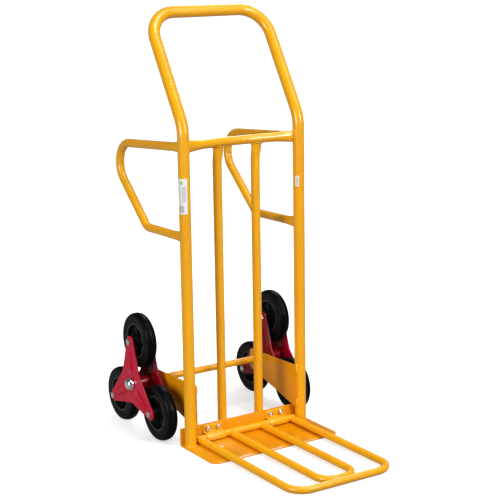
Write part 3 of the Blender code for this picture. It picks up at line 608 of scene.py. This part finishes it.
# ---------------------------------------------------------------- folding toe frame
# Two U-shaped loops of 20 mm tube on one cross bar. The smaller loop lies inside the larger and
# is welded to its front. The cross bar turns in the hinge saddles, so the frame folds up.
FOLD_RADIUS = 0.0100
HINGE_Y, HINGE_Z = 0.0032, 0.0138
FOLD_HALF = 0.1640           # half length of the cross bar
FOLD_OUTER_X, FOLD_INNER_X = 0.1540, 0.0526
FOLD_FRONT_Y = -0.4660
FOLD_OUTER_BEND, FOLD_INNER_BEND = 0.050, 0.044

bar_profile = [
    (-FOLD_HALF, 0.0), (-FOLD_HALF, FOLD_RADIUS - 0.0012), (-FOLD_HALF + 0.0012, FOLD_RADIUS),
    (FOLD_HALF - 0.0012, FOLD_RADIUS), (FOLD_HALF, FOLD_RADIUS - 0.0012), (FOLD_HALF, 0.0),
]
hinge_bar = lathe(bar_profile, 48, (0, HINGE_Y, HINGE_Z), closed=False)
finish_piece("fold_bar", hinge_bar, TUBE_PAINT, "folding_toe", ["toe_hinge_bar"])
inner_front = FOLD_FRONT_Y + 2 * FOLD_RADIUS + 0.0003
for name, half, front_y, radius in (
    ("outer", FOLD_OUTER_X, FOLD_FRONT_Y, FOLD_OUTER_BEND),
    ("inner", FOLD_INNER_X, inner_front, FOLD_INNER_BEND),
):
    loop = BentTube((-half, HINGE_Y - 0.002, HINGE_Z), (0, -1, 0), FOLD_RADIUS)
    length = HINGE_Y - 0.002 - front_y - radius
    loop.push(length, 3)
    loop.bend((1, 0, 0), math.pi / 2, radius, 20)
    loop.push(2 * (half - radius), 2)
    loop.bend((0, 1, 0), math.pi / 2, radius, 20)
    loop.push(length, 3)
    finish_piece(
        f"fold_{name}", loop.close(), TUBE_PAINT, "folding_toe", [f"toe_{name}_loop"]
    )
    for side, sign in SIDES.items():
        weld_round(
            f"weld_fold_{name}_{side}", (sign * half, HINGE_Y, HINGE_Z), (0, -1, 0), (0, 0, 1),
            FOLD_RADIUS, FOLD_RADIUS * 0.94, FOLD_RADIUS, 0.0019, TOE_SHEET + 0.0002,
        )
        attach(bpy.data.objects[f"weld_fold_{name}_{side}"], "folding_toe")
for place, z in (("top", HINGE_Z + 0.0062), ("low", HINGE_Z - 0.0062)):
    weld_line(
        f"weld_fold_front_{place}", (-0.016, FOLD_FRONT_Y + FOLD_RADIUS, z),
        (0.016, FOLD_FRONT_Y + FOLD_RADIUS, z), 0.0030, "folding_toe",
    )


# ---------------------------------------------------------------- hinge saddles
# Two strips of 2.5 mm sheet, folded over the cross bar and up against the flange, hold the
# folding frame. Each is held by two bolts through the flange, with their nuts at the front.
SADDLE_SHEET = 0.0025
SADDLE_X, SADDLE_HALF = 0.1050, 0.0310
SADDLE_TOP_Z = 0.0470
SADDLE_LOW_Z = HINGE_Z - 0.0060
SADDLE_FOLD = 0.0045
HINGE_BOLT_Z = 0.0375
HINGE_BOLT_X = (0.0885, 0.1215)

for side, sign in SIDES.items():
    saddle = bmesh.new()
    grip = FOLD_RADIUS + 0.0003
    back = HINGE_Y + grip + SADDLE_SHEET
    low_x, high_x = sign * SADDLE_X - SADDLE_HALF, sign * SADDLE_X + SADDLE_HALF
    free = first_edge(saddle, (low_x, back, SADDLE_TOP_Z), (high_x, back, SADDLE_TOP_Z), 3)
    hub = (0, back - SADDLE_FOLD, HINGE_Z + grip + SADDLE_FOLD)
    free = sheet_run(saddle, free, (0, 0, hub[2] - SADDLE_TOP_Z), 2)
    free = sheet_fold(saddle, free, hub, -math.pi / 2)
    free = sheet_run(saddle, free, (0, HINGE_Y - hub[1], 0))
    free = sheet_fold(saddle, free, (0, HINGE_Y, HINGE_Z), math.pi / 2, 14)
    free = sheet_run(saddle, free, (0, 0, SADDLE_LOW_Z - HINGE_Z))
    corners = [v for v in saddle.verts if len(v.link_edges) == 2]
    bmesh.ops.bevel(
        saddle, geom=corners, offset=0.003, offset_type="OFFSET", segments=4, profile=0.5,
        affect="VERTICES", material=-1,
    )
    face_toward(saddle, (0, 1, -0.3))
    bmesh.ops.reverse_faces(saddle, faces=saddle.faces)
    bmesh.ops.solidify(saddle, geom=saddle.faces[:], thickness=-SADDLE_SHEET)
    bmesh.ops.recalc_face_normals(saddle, faces=saddle.faces)
    rims = [e for e in saddle.edges if e.calc_face_angle(0) > math.radians(60)]
    bmesh.ops.bevel(
        saddle, geom=rims, offset=SHEET_EDGE, offset_type="OFFSET", segments=2, profile=0.5,
        affect="EDGES", material=-1,
    )
    finish_piece(
        f"saddle_{side}", saddle, TUBE_PAINT, "frame", [f"hinge_saddle_{side}"]
    )


# ---------------------------------------------------------------- bolts and nuts
# Zinc-plated hexagon bolts: the small ones hold the saddles, the large ones are the wheels'
# axles. Heads and nuts have turned corners, and the thread stands a little proud of each nut.
zinc = Finish("zinc_plate", Metallic=0.94)
mottle = zinc.grain(340.0, 3.0).rise(0.35, 0.75)
zinc.colour(zinc.blend(mottle, (0.80, 0.81, 0.78), (0.58, 0.60, 0.55)))
zinc.roughness(0.20 + mottle * 0.14)
zinc.bump(zinc.grain(2600.0, 2.0), 0.00005, 0.8)
ZINC = zinc.material


def hexagon(across, height, bore=0.0):
    """A hexagon along +X from x = 0, its outer corners turned off at 30 degrees. With a bore it is
    a nut, and otherwise a bolt head."""
    flat, corner = across / 2, across / math.sqrt(3)
    mesh = bmesh.new()
    bmesh.ops.create_circle(mesh, segments=6, radius=corner)
    bmesh.ops.subdivide_edges(mesh, edges=mesh.edges[:], cuts=7)
    foot = mesh.edges[:]

    def step(edges, shape):
        pushed = bmesh.ops.extrude_edge_only(mesh, edges=edges)["geom"]
        for vert in (v for v in pushed if isinstance(v, bmesh.types.BMVert)):
            vert.co = shape(vert.co)
        return [e for e in pushed if isinstance(e, bmesh.types.BMEdge)]

    def ring(radius, z):
        return lambda co: Vector((co.x, co.y, 0)).normalized() * radius + Vector((0, 0, z))

    def turned_off(co):
        reach = math.hypot(co.x, co.y)
        return Vector((co.x, co.y, height - max(0.0, reach - flat * 0.97) * math.tan(math.radians(30))))

    edges = step(foot, turned_off)
    edges = step(edges, ring(flat * 0.95, height))
    if bore:
        edges = step(edges, ring(bore + 0.0006, height))
        edges = step(edges, ring(bore, height - 0.0005))
        edges = step(edges, ring(bore, 0.0))
        bmesh.ops.bridge_loops(mesh, edges=edges + foot)
    else:
        edges = step(edges, ring(flat * 0.55, height + 0.0002))
        bmesh.ops.holes_fill(mesh, edges=mesh.edges, sides=0)
    bmesh.ops.rotate(mesh, verts=mesh.verts, cent=(0, 0, 0), matrix=Matrix.Rotation(math.pi / 2, 3, "Y"))
    return mesh


def threaded_end(radius, start, end, pitch):
    """The visible end of a bolt along +X, with its thread and its turned tip."""
    turns = max(1, int((end - start - 0.0006) / pitch))
    profile = [(start, 0.0)]
    for turn in range(turns):
        profile += [(start + turn * pitch, radius - pitch * 0.5), (start + (turn + 0.5) * pitch, radius)]
    profile += [(start + turns * pitch, radius - pitch * 0.5), (end, radius - pitch * 0.9), (end, 0.0)]
    return lathe(profile, 32, closed=False)


def join(mesh, other, matrix=None):
    """Adds another bmesh to a mesh and drops it."""
    if matrix:
        bmesh.ops.transform(other, matrix=matrix, verts=other.verts)
    bmesh.ops.recalc_face_normals(other, faces=other.faces)
    data = bpy.data.meshes.new("joined")
    other.to_mesh(data)
    other.free()
    mesh.from_mesh(data)
    bpy.data.meshes.remove(data)


def bolt_set(name, head_at, nut_at, out, across, head, nut, radius, spare, pitch, twist, body, nodes):
    """One bolt and its nut. out points from the nut to the head; both points are their seats."""
    out = Vector(out).normalized()
    roll = Matrix.Rotation(twist, 4, "X")
    toward = Vector((1, 0, 0)).rotation_difference(out).to_matrix().to_4x4()
    away = Vector((1, 0, 0)).rotation_difference(-out).to_matrix().to_4x4()
    bolt = bmesh.new()
    join(bolt, hexagon(across, head), roll)
    length = (Vector(head_at) - Vector(nut_at)).length
    shank = lathe([(0.0001, 0.0), (0.0001, radius), (-length, radius), (-length, 0.0)], 32, closed=False)
    join(bolt, shank)
    end = threaded_end(radius, 0.0, nut + spare, pitch)
    join(bolt, end, Matrix.Translation((-length, 0, 0)) @ Matrix.Rotation(math.pi, 4, "Z"))
    bmesh.ops.transform(bolt, matrix=Matrix.Translation(head_at) @ toward, verts=bolt.verts)
    finish_piece(f"bolt_{name}", bolt, ZINC, body, [nodes[0]], 25.0, outward=False)
    made = hexagon(across, nut, radius + 0.0002)
    bmesh.ops.transform(made, matrix=Matrix.Translation(nut_at) @ away @ roll, verts=made.verts)
    finish_piece(f"nut_{name}", made, ZINC, body, [nodes[1]], 25.0)


for side, sign in SIDES.items():
    for place, x in zip(("inner", "outer"), HINGE_BOLT_X):
        bolt_set(
            f"hinge_{side}_{place}", (sign * x, TOE_FLANGE_Y + 0.0003, HINGE_BOLT_Z),
            (sign * x, HINGE_Y + FOLD_RADIUS, HINGE_BOLT_Z), (0, 1, 0), 0.0130, 0.0053, 0.0065, 0.0040,
            0.0020, 0.00125, math.radians(20 + 700 * x), "frame",
            [f"hinge_bolt_{side}_{place}", f"hinge_nut_{side}_{place}"],
        )


# ---------------------------------------------------------------- star plates and hubs
# Two pressed steel plates on a hub tube carry three wheels each side. Every arm has a raised,
# tapering rib between two grooves, and the whole star is dipped in glossy crimson enamel.
STAR_TIP = 0.0168
STAR_WAIST, STAR_WAIST_BEND = 0.0565, 0.0450
STAR_SHEET = 0.0028
HUB_RADIUS = 0.0180
WHEEL_X = 0.2240


def dipped_enamel(name, light, deep):
    """Glossy dipped enamel, a little uneven in colour."""
    enamel = Finish(name, IOR=1.4, Specular_IOR_Level=0.34)
    flow = enamel.grain(11.0, 3.0).rise(0.3, 0.7)
    enamel.colour(enamel.blend(flow * 0.6, light, deep))
    enamel.roughness(0.17 + enamel.grain(40.0, 3.0) * 0.10)
    enamel.bump(enamel.grain(260.0, 2.0), 0.00006, 0.7)
    return enamel.material


ENAMEL = dipped_enamel("crimson_enamel", (0.60, 0.003, 0.036), (0.46, 0.001, 0.016))
# Painted shade: the inner plates and hubs get a darker red, for the shade the outer plates cast on them.
SHADE_ENAMEL = dipped_enamel("crimson_enamel_painted_shade", (0.27, 0.002, 0.010), (0.17, 0.001, 0.005))


def star_edge(mesh):
    """The cut edge of a star in the YZ plane about its centre: round tips and hollow waists."""
    third = 2 * math.pi / 3
    tip = Vector((0, 0, STAR_ARM))
    hollow = Matrix.Rotation(third / 2, 3, "X") @ Vector((0, 0, STAR_WAIST + STAR_WAIST_BEND))
    apart = hollow - tip
    touch = math.atan2(apart.z, apart.y) - math.acos((STAR_TIP + STAR_WAIST_BEND) / apart.length)
    toward = Vector((0, math.cos(touch), math.sin(touch)))
    tip_end, hollow_start = tip + toward * STAR_TIP, hollow - toward * STAR_WAIST_BEND
    tip_start = Vector((0, -tip_end.y, tip_end.z))
    next_start = Matrix.Rotation(third, 3, "X") @ tip_start
    hollow_end = Matrix.Rotation(third, 3, "X") @ Vector((0, -hollow_start.y, hollow_start.z))

    def round_it(verts, centre, angle, steps):
        return bmesh.ops.spin(
            mesh, geom=verts, cent=centre, axis=(1, 0, 0), angle=angle, steps=steps, use_merge=False
        )["geom_last"]

    def straight(verts, end, steps):
        step = (end - verts[0].co) / steps
        for _ in range(steps):
            verts = bmesh.ops.extrude_vert_indiv(mesh, verts=verts)["verts"]
            bmesh.ops.translate(mesh, verts=verts, vec=step)
        return verts

    verts = round_it([mesh.verts.new(tip_start)], tip, 2 * ((touch - math.pi / 2) % (2 * math.pi)), 24)
    verts = straight(verts, hollow_start, 24)
    verts = round_it(verts, hollow, -(verts[0].co - hollow).angle(hollow_end - hollow), 18)
    straight(verts, next_start, 24)
    bmesh.ops.spin(
        mesh, geom=mesh.verts[:] + mesh.edges[:], cent=(0, 0, 0), axis=(1, 0, 0), angle=2 * third,
        steps=2, use_merge=False, use_duplicate=True,
    )
    bmesh.ops.remove_doubles(mesh, verts=mesh.verts, dist=1e-5)


def star_relief(y, z):
    """How far the pressed face stands out at a place on the star."""
    reach = math.hypot(y, z)
    height = -0.0024 * (1 - ease((reach - 0.0225) / 0.0030)) * ease((reach - 0.0165) / 0.0020)
    for arm in range(3):
        angle = arm * 2 * math.pi / 3
        along = z * math.cos(angle) - y * math.sin(angle)
        across = abs(y * math.cos(angle) + z * math.sin(angle))
        length = ease((along - 0.030) / 0.014) * (1 - ease((along - 0.094) / 0.012))
        half = between(ease((along - 0.030) / 0.075), 0.0125, 0.0045)
        ridge = 1 - ease((across - half + 0.0030) / 0.0036)
        groove = math.exp(-(((across - half - 0.0022) / 0.0016) ** 2))
        height += length * (0.0034 * ridge - 0.0020 * groove)
        pad = math.hypot(y + STAR_ARM * math.sin(angle), z - STAR_ARM * math.cos(angle))
        height += 0.0004 * (1 - ease((pad - 0.0105) / 0.0015))
    return height


def pressed_star():
    """A pressed plate whose face looks along +X, with its top at x = 0."""
    mesh = bmesh.new()
    star_edge(mesh)
    ring = mesh.edges[:]
    steps = [0.006, 0.014, 0.026] + [0.026 + 0.974 * k / 52 for k in range(1, 53)]
    done = 0.0
    bore = AXLE_RADIUS + 0.0008
    for vert in mesh.verts:
        vert.co.x = -0.0016
    for step in steps:
        share = (step - done) / (1 - done)
        done = step
        pushed = bmesh.ops.extrude_edge_only(mesh, edges=ring)["geom"]
        for vert in (v for v in pushed if isinstance(v, bmesh.types.BMVert)):
            flat = Vector((0, vert.co.y, vert.co.z))
            flat = flat.lerp(flat.normalized() * bore, share)
            soft = {0.006: -0.0006, 0.014: -0.0001}.get(step, 0.0)
            vert.co = flat + Vector((soft + star_relief(flat.y, flat.z), 0, 0))
        ring = [e for e in pushed if isinstance(e, bmesh.types.BMEdge)]
    face_toward(mesh, (-1, 0, 0))
    drawn = bmesh.ops.extrude_face_region(mesh, geom=mesh.faces[:], use_keep_orig=True)["geom"]
    back = [v for v in drawn if isinstance(v, bmesh.types.BMVert)]
    bmesh.ops.translate(mesh, verts=back, vec=(-STAR_SHEET, 0, 0))
    return mesh


for side, sign in SIDES.items():
    body = f"star_{side}"
    # The inner plates take the darker red of painted shade.
    for place, seat, facing, paint in (
        ("outer", STAR_FACE_X, sign, ENAMEL), ("inner", STAR_INNER_X, -sign, SHADE_ENAMEL),
    ):
        star = pressed_star()
        shape = Matrix.Translation((sign * seat, AXLE_Y, AXLE_Z)) @ Matrix.Diagonal((facing, 1, 1, 1))
        bmesh.ops.transform(star, matrix=shape, verts=star.verts)
        finish_piece(
            f"star_{place}_{side}_plate", star, paint, body,
            [f"star_plate_{place}_{side}"], 50.0,
        )
    inside, outside = STAR_INNER_X + STAR_SHEET, STAR_FACE_X - STAR_SHEET
    bore = AXLE_RADIUS + 0.0005
    tube = [(inside, bore), (outside, bore), (outside, HUB_RADIUS), (inside, HUB_RADIUS)]
    hub = lathe([(sign * x, r) for x, r in tube], 48, axle_middle)
    # The hub takes the same darker red, which is painted shade.
    finish_piece(f"hub_{side}", hub, SHADE_ENAMEL, body, [f"star_hub_{side}"])


# ---------------------------------------------------------------- tyres and rims
# Six small wheels: a satin black solid tyre with two grooves round its crown, moulded on a black
# plastic rim with a dished web, six ribs and a plain bored hub.
TYRE_HALF = 0.01575
TYRE_BORE = 0.0475
RIM_HALF = 0.01425
HUB_HALF = 0.0280

rubber = Finish("tyre_rubber", IOR=1.40, Specular_IOR_Level=0.12)
bloom = rubber.grain(32.0, 4.0).rise(0.38, 0.78)
rubber.colour(rubber.blend(bloom * 0.5, (0.0026, 0.0030, 0.0034), (0.0060, 0.0066, 0.0072)))
rubber.roughness(0.30 + bloom * 0.12)
rubber.bump(rubber.grain(900.0, 3.0, 0.6), 0.00004, 0.5)
RUBBER = rubber.material

plastic = Finish("rim_plastic", IOR=1.46, Specular_IOR_Level=0.14)
sheen = plastic.grain(55.0, 3.0).rise(0.35, 0.75)
plastic.colour(plastic.blend(sheen, (0.0022, 0.0022, 0.0025), (0.0050, 0.0050, 0.0056)))
plastic.roughness(0.36 + sheen * 0.14)
plastic.bump(plastic.grain(1500.0, 2.0), 0.00004, 0.5)
PLASTIC = plastic.material


def tyre_half_profile():
    """The tyre's section from the bore to the middle of the crown, on the +x side."""
    shoulder = WHEEL_RADIUS - 0.0110
    points = [(TYRE_HALF - 0.0030, TYRE_BORE), (TYRE_HALF - 0.0008, TYRE_BORE + 0.0006)]
    points += [(TYRE_HALF - 0.0004, TYRE_BORE + 0.0040), (TYRE_HALF, TYRE_BORE + 0.0085)]
    for step in range(1, 61):
        angle = math.radians(90) * step / 61
        x = TYRE_HALF * math.cos(angle)
        dent = max(math.exp(-(((x - groove) / 0.0010) ** 4)) for groove in (0.0042, 0.0093))
        points.append((x, shoulder + 0.0110 * math.sin(angle) ** 0.7 - 0.0026 * dent))
    points.append((0.0, WHEEL_RADIUS))
    return points


def rim_half_profile():
    """The rim's section on the +x side, from the hub's bore out to the bead seat."""
    bore, hub, seat = 0.0055, 0.0150, TYRE_BORE - 0.0003
    return [
        (HUB_HALF, bore + 0.0006), (HUB_HALF, hub - 0.0012), (HUB_HALF - 0.0012, hub),
        (0.0070, hub + 0.0008), (0.0038, hub + 0.0034), (0.0030, 0.0240), (0.0034, seat - 0.0085),
        (0.0062, seat - 0.0050), (RIM_HALF - 0.0012, seat - 0.0036), (RIM_HALF, seat - 0.0030),
        (RIM_HALF + 0.0004, seat - 0.0012), (RIM_HALF, seat),
    ]


def both_halves(half):
    mirrored = [(-x, r) for x, r in reversed(half)]
    return half + (mirrored[1:] if half[-1][0] == 0.0 else mirrored)


def rim_rib(angle):
    """A low rib on each face of the web, from the hub out to the barrel."""
    rib = bmesh.new()
    bmesh.ops.create_cube(rib, size=1.0)
    bmesh.ops.scale(rib, verts=rib.verts, vec=(0.0160, 0.0032, 0.0275))
    bmesh.ops.bevel(
        rib, geom=rib.edges[:], offset=0.0007, offset_type="OFFSET", segments=2, profile=0.5,
        affect="EDGES", material=-1,
    )
    bmesh.ops.translate(rib, verts=rib.verts, vec=(0, 0, 0.0285))
    bmesh.ops.rotate(rib, verts=rib.verts, cent=(0, 0, 0), matrix=Matrix.Rotation(angle, 3, "X"))
    return rib


def bead_ring(face):
    """A thin moulded line on one face of the wheel, where the tyre meets the rim's flange."""
    middle = TYRE_BORE + 0.0006
    section = [
        (face * (TYRE_HALF - 0.0012 + 0.0011 * math.sin(a)), middle + 0.0011 * math.cos(a))
        for a in [k * math.pi / 5 for k in range(10)]
    ]
    return lathe(section, 96)


# Painted highlight: the ring where the tyre meets the rim is a real moulded line, but its light olive-grey
# colour stands for the light caught on the rim's flange edge.
bead_highlight = Finish("bead_painted_highlight", IOR=1.45, Roughness=0.42)
patchy = bead_highlight.grain(70.0, 3.0).rise(0.3, 0.7)
bead_highlight.colour(bead_highlight.blend(patchy, (0.095, 0.100, 0.070), (0.045, 0.050, 0.035)))
BEAD_HIGHLIGHT = bead_highlight.material

STAR_ANGLES = {"top": 0.0, "front": 2 * math.pi / 3, "rear": -2 * math.pi / 3}
for side, sign in SIDES.items():
    for place, angle in STAR_ANGLES.items():
        name = f"{side}_{place}"
        y, z = AXLE_Y - STAR_ARM * math.sin(angle), AXLE_Z + STAR_ARM * math.cos(angle)
        centre = Vector((sign * WHEEL_X, y, z))
        tyre = lathe(both_halves(tyre_half_profile()), 112, centre)
        finish_piece(f"wheel_{name}_tyre", tyre, RUBBER, f"wheel_{name}", [f"tyre_{name}"], 50.0)
        for face in (LEFT, RIGHT):
            bead = bead_ring(face)
            bmesh.ops.translate(bead, verts=bead.verts, vec=centre)
            where = "outer" if face == sign else "inner"
            finish_piece(f"wheel_{name}_bead_{where}", bead, BEAD_HIGHLIGHT, f"wheel_{name}", [])
        rim = bmesh.new()
        join(rim, lathe(both_halves(rim_half_profile()), 72))
        for rib in range(6):
            join(rim, rim_rib(angle + rib * math.pi / 3))
        bmesh.ops.translate(rim, verts=rim.verts, vec=centre)
        finish_piece(
            f"wheel_{name}_rim", rim, PLASTIC, f"wheel_{name}", [f"rim_{name}"], 40.0,
            outward=False,
        )
        bolt_set(
            f"wheel_{name}", (sign * (STAR_FACE_X + 0.0003), y, z), (sign * (STAR_INNER_X - 0.0003), y, z),
            (sign, 0, 0), 0.0170, 0.0064, 0.0080, 0.0050, 0.0025, 0.0015, angle + 0.35, f"star_{side}",
            [f"wheel_bolt_{name}", f"wheel_nut_{name}"],
        )


# ---------------------------------------------------------------- labels
# Two printed film labels round the front of the uprights: a tall one on the left and a small
# one on the right. They carry only plain bars and blocks, with no lettering.
LABEL_SHEET = 0.0004
LABELS = {
    "left": (0.6550, 0.7500, 48.0, 92.0),
    "right": (0.6920, 0.7215, 50.0, 38.0),
}


def label_film(side, low, high, middle, width):
    """White film with grey and green print. The print follows the height and the way round."""
    film = Finish(f"label_film_{side}", IOR=1.46, Roughness=0.38)
    x = film.axis("X") - SIDES[side] * UPRIGHT_X
    round_it = film.node("ShaderNodeMath", {"operation": "ARCTAN2"}, {0: film.axis("Y"), 1: x})
    start = -90.0 - middle - width / 2
    across = (round_it * (180 / math.pi) - start) / width
    up = (film.axis("Z") - low) / (high - low)
    ink = film.grain(2200.0, 1.0).rise(0.30, 0.42)
    white = film.blend(film.grain(90.0) * 0.3, (0.82, 0.83, 0.80), (0.74, 0.75, 0.71))
    if side == "left":
        rows = (across * 9.0).math("FRACT", across * 9.0).between(0.30, 0.72, 0.08)
        lines = rows * across.between(0.46, 0.92, 0.01) * up.between(0.34, 0.78, 0.01) * ink
        column = across.between(0.12, 0.30, 0.01) * up.between(0.30, 0.74, 0.01) * rows * 0.7
        cell_x = (across * 6.0).math("FRACT", across * 6.0).between(0.12, 0.86, 0.05)
        cell_z = (up * 22.0).math("FRACT", up * 22.0).between(0.15, 0.80, 0.05)
        blocks = cell_x * cell_z * up.between(0.05, 0.25, 0.005) * across.between(0.10, 0.62, 0.01)
        mark = up.between(0.84, 0.93, 0.01) * across.between(0.22, 0.52, 0.02)
        printed = film.blend(lines * 0.85 + column * 0.6, white, (0.10, 0.14, 0.13))
        printed = film.blend(blocks * 0.95, printed, (0.02, 0.10, 0.08))
        film.colour(film.blend(mark * 0.9, printed, (0.24, 0.52, 0.06)))
    else:
        cell_z = (up * 7.0).math("FRACT", up * 7.0).between(0.2, 0.75, 0.06)
        marks = cell_z * across.between(0.30, 0.72, 0.02) * up.between(0.08, 0.92, 0.01) * ink
        film.colour(film.blend(marks * 0.85, white, (0.14, 0.16, 0.12)))
    return film.material


for side, (low, high, middle, width) in LABELS.items():
    label = bmesh.new()
    start = math.radians(-90.0 - middle - width / 2)
    radius = TUBE_RADIUS + 0.0003
    heading = Vector((math.cos(start), math.sin(start), 0)) * radius
    centre = Vector((SIDES[side] * UPRIGHT_X, 0, 0))
    edge = first_edge(label, centre + heading + Vector((0, 0, low)), centre + heading + Vector((0, 0, high)))
    bmesh.ops.spin(
        label, geom=label.verts[:] + edge, cent=centre, axis=(0, 0, 1), angle=math.radians(width),
        steps=24, use_merge=False,
    )
    bmesh.ops.recalc_face_normals(label, faces=label.faces)
    face = label.faces[0]
    if face.normal.dot(face.calc_center_median() - Vector((centre.x, 0, low))) < 0:
        bmesh.ops.reverse_faces(label, faces=label.faces)
    bmesh.ops.solidify(label, geom=label.faces[:], thickness=-LABEL_SHEET)
    film = label_film(side, low, high, middle, width)
    finish_piece(f"film_{side}", label, film, "frame", [f"label_{side}"])


# ---------------------------------------------------------------- studio
# A pale seamless floor under soft light: a tall softbox at the front right, one overhead, a wide
# one at the left, one high at the back and a weak sun. Floor and sky look nearly white to the
# camera. To the truck the sky is dim, but the floor glows round it as a painted pool of light,
# and further out the floor shows brighter in reflections, a painted reflection.
floor_paint = Finish("pale_floor", Roughness=1.0)
floor_paint.shader.inputs["Specular IOR Level"].default_value = 0.0
looked_at = floor_paint.node("ShaderNodeLightPath", {}, {})
away = floor_paint.node("ShaderNodeVectorMath", {"operation": "LENGTH"}, {0: floor_paint.place}, 1)
# Painted pool of light: round the truck the floor glows and lights the truck from below, though no lamp is
# there. To the camera the floor glows a little less near the truck.
glow_pool = 1 - away.rise(0.18, 0.66)
patch = floor_paint.grain(0.7) * 0.01
shade = looked_at * 0.50 + 0.10 - patch
mirrored = floor_paint.node("ShaderNodeLightPath", {}, {}, "Is Glossy Ray")
# Painted reflection: further out, the floor glows brighter, but only in reflections.
far_reflection = mirrored * (1 - glow_pool) * 0.30
glow = looked_at * (0.86 - glow_pool * 0.30) + (1 - looked_at) * glow_pool * (0.40 - mirrored * 0.28) + far_reflection
for socket, level in (("Base Color", shade), ("Emission Color", glow)):
    grey = floor_paint.node("ShaderNodeCombineColor", {}, {0: level, 1: level, 2: level})
    floor_paint.links.new(grey.socket, floor_paint.shader.inputs[socket])
floor_paint.shader.inputs["Emission Strength"].default_value = 1.0
ground = bmesh.new()
bmesh.ops.create_grid(ground, x_segments=8, y_segments=8, size=90.0)
bmesh.ops.translate(ground, verts=ground.verts, vec=(0, 0, -0.0002))
ground_data = bpy.data.meshes.new("floor")
ground.to_mesh(ground_data)
ground.free()
ground_data.materials.append(floor_paint.material)
floor = bpy.data.objects.new("floor", ground_data)
bpy.context.scene.collection.objects.link(floor)


def softbox(name, place, target, width, height, power):
    light = bpy.data.lights.new(name, "AREA")
    light.shape = "RECTANGLE"
    light.size, light.size_y = width, height
    light.energy = power
    lamp = bpy.data.objects.new(name, light)
    lamp.location = place
    lamp.rotation_euler = (Vector(target) - Vector(place)).to_track_quat("-Z", "Y").to_euler()
    bpy.context.scene.collection.objects.link(lamp)


softbox("softbox_main", (1.2, -2.9, 1.9), (0, 0, 0.5), 0.6, 1.7, 64.0)
softbox("softbox_top", (0.1, -0.7, 3.3), (0, 0, 0.4), 1.4, 0.9, 30.0)
softbox("softbox_left", (-3.3, -1.1, 1.3), (0, 0, 0.3), 1.7, 1.5, 84.0)
softbox("softbox_back", (2.6, 2.6, 3.4), (0, 0, 0.5), 1.5, 1.2, 50.0)
sun = bpy.data.objects.new("even_light", bpy.data.lights.new("even_light", "SUN"))
sun.data.energy = 1.0
sun.data.angle = math.radians(40)
sun.rotation_euler = Vector((-0.45, 0.80, -1.3)).to_track_quat("-Z", "Y").to_euler()
bpy.context.scene.collection.objects.link(sun)

sky = bpy.data.worlds.new("studio")
sky.use_nodes = True
sky_nodes, sky_links = sky.node_tree.nodes, sky.node_tree.links
background = sky_nodes["Background"]
background.inputs["Color"].default_value = (1.0, 1.0, 1.0, 1.0)
direct_view = sky_nodes.new("ShaderNodeLightPath")
strength = sky_nodes.new("ShaderNodeMapRange")
strength.inputs["To Min"].default_value = 0.13
strength.inputs["To Max"].default_value = 1.0
sky_links.new(direct_view.outputs["Is Camera Ray"], strength.inputs["Value"])
sky_links.new(strength.outputs["Result"], background.inputs["Strength"])
bpy.context.scene.world = sky
bpy.context.scene.view_settings.view_transform = "Standard"

AZIMUTH, ELEVATION, ROLL = math.radians(-32.72), math.radians(12.30), math.radians(-0.89)
camera_data = bpy.data.cameras.new("camera")
camera_data.sensor_width = 36.0
camera_data.lens = 97.4
camera = bpy.data.objects.new("camera", camera_data)
view_back = Vector((
    math.sin(AZIMUTH) * math.cos(ELEVATION), -math.cos(AZIMUTH) * math.cos(ELEVATION), math.sin(ELEVATION),
))
level_right = (-view_back).cross(Vector((0, 0, 1))).normalized()
level_up = level_right.cross(-view_back)
right = math.cos(ROLL) * level_right + math.sin(ROLL) * level_up
upward = -math.sin(ROLL) * level_right + math.cos(ROLL) * level_up
stand = Matrix((right, upward, view_back)).transposed().to_4x4()
stand.translation = Vector((-1.950, -3.065, 1.323))
camera.matrix_world = stand
bpy.context.scene.collection.objects.link(camera)
bpy.context.scene.camera = camera
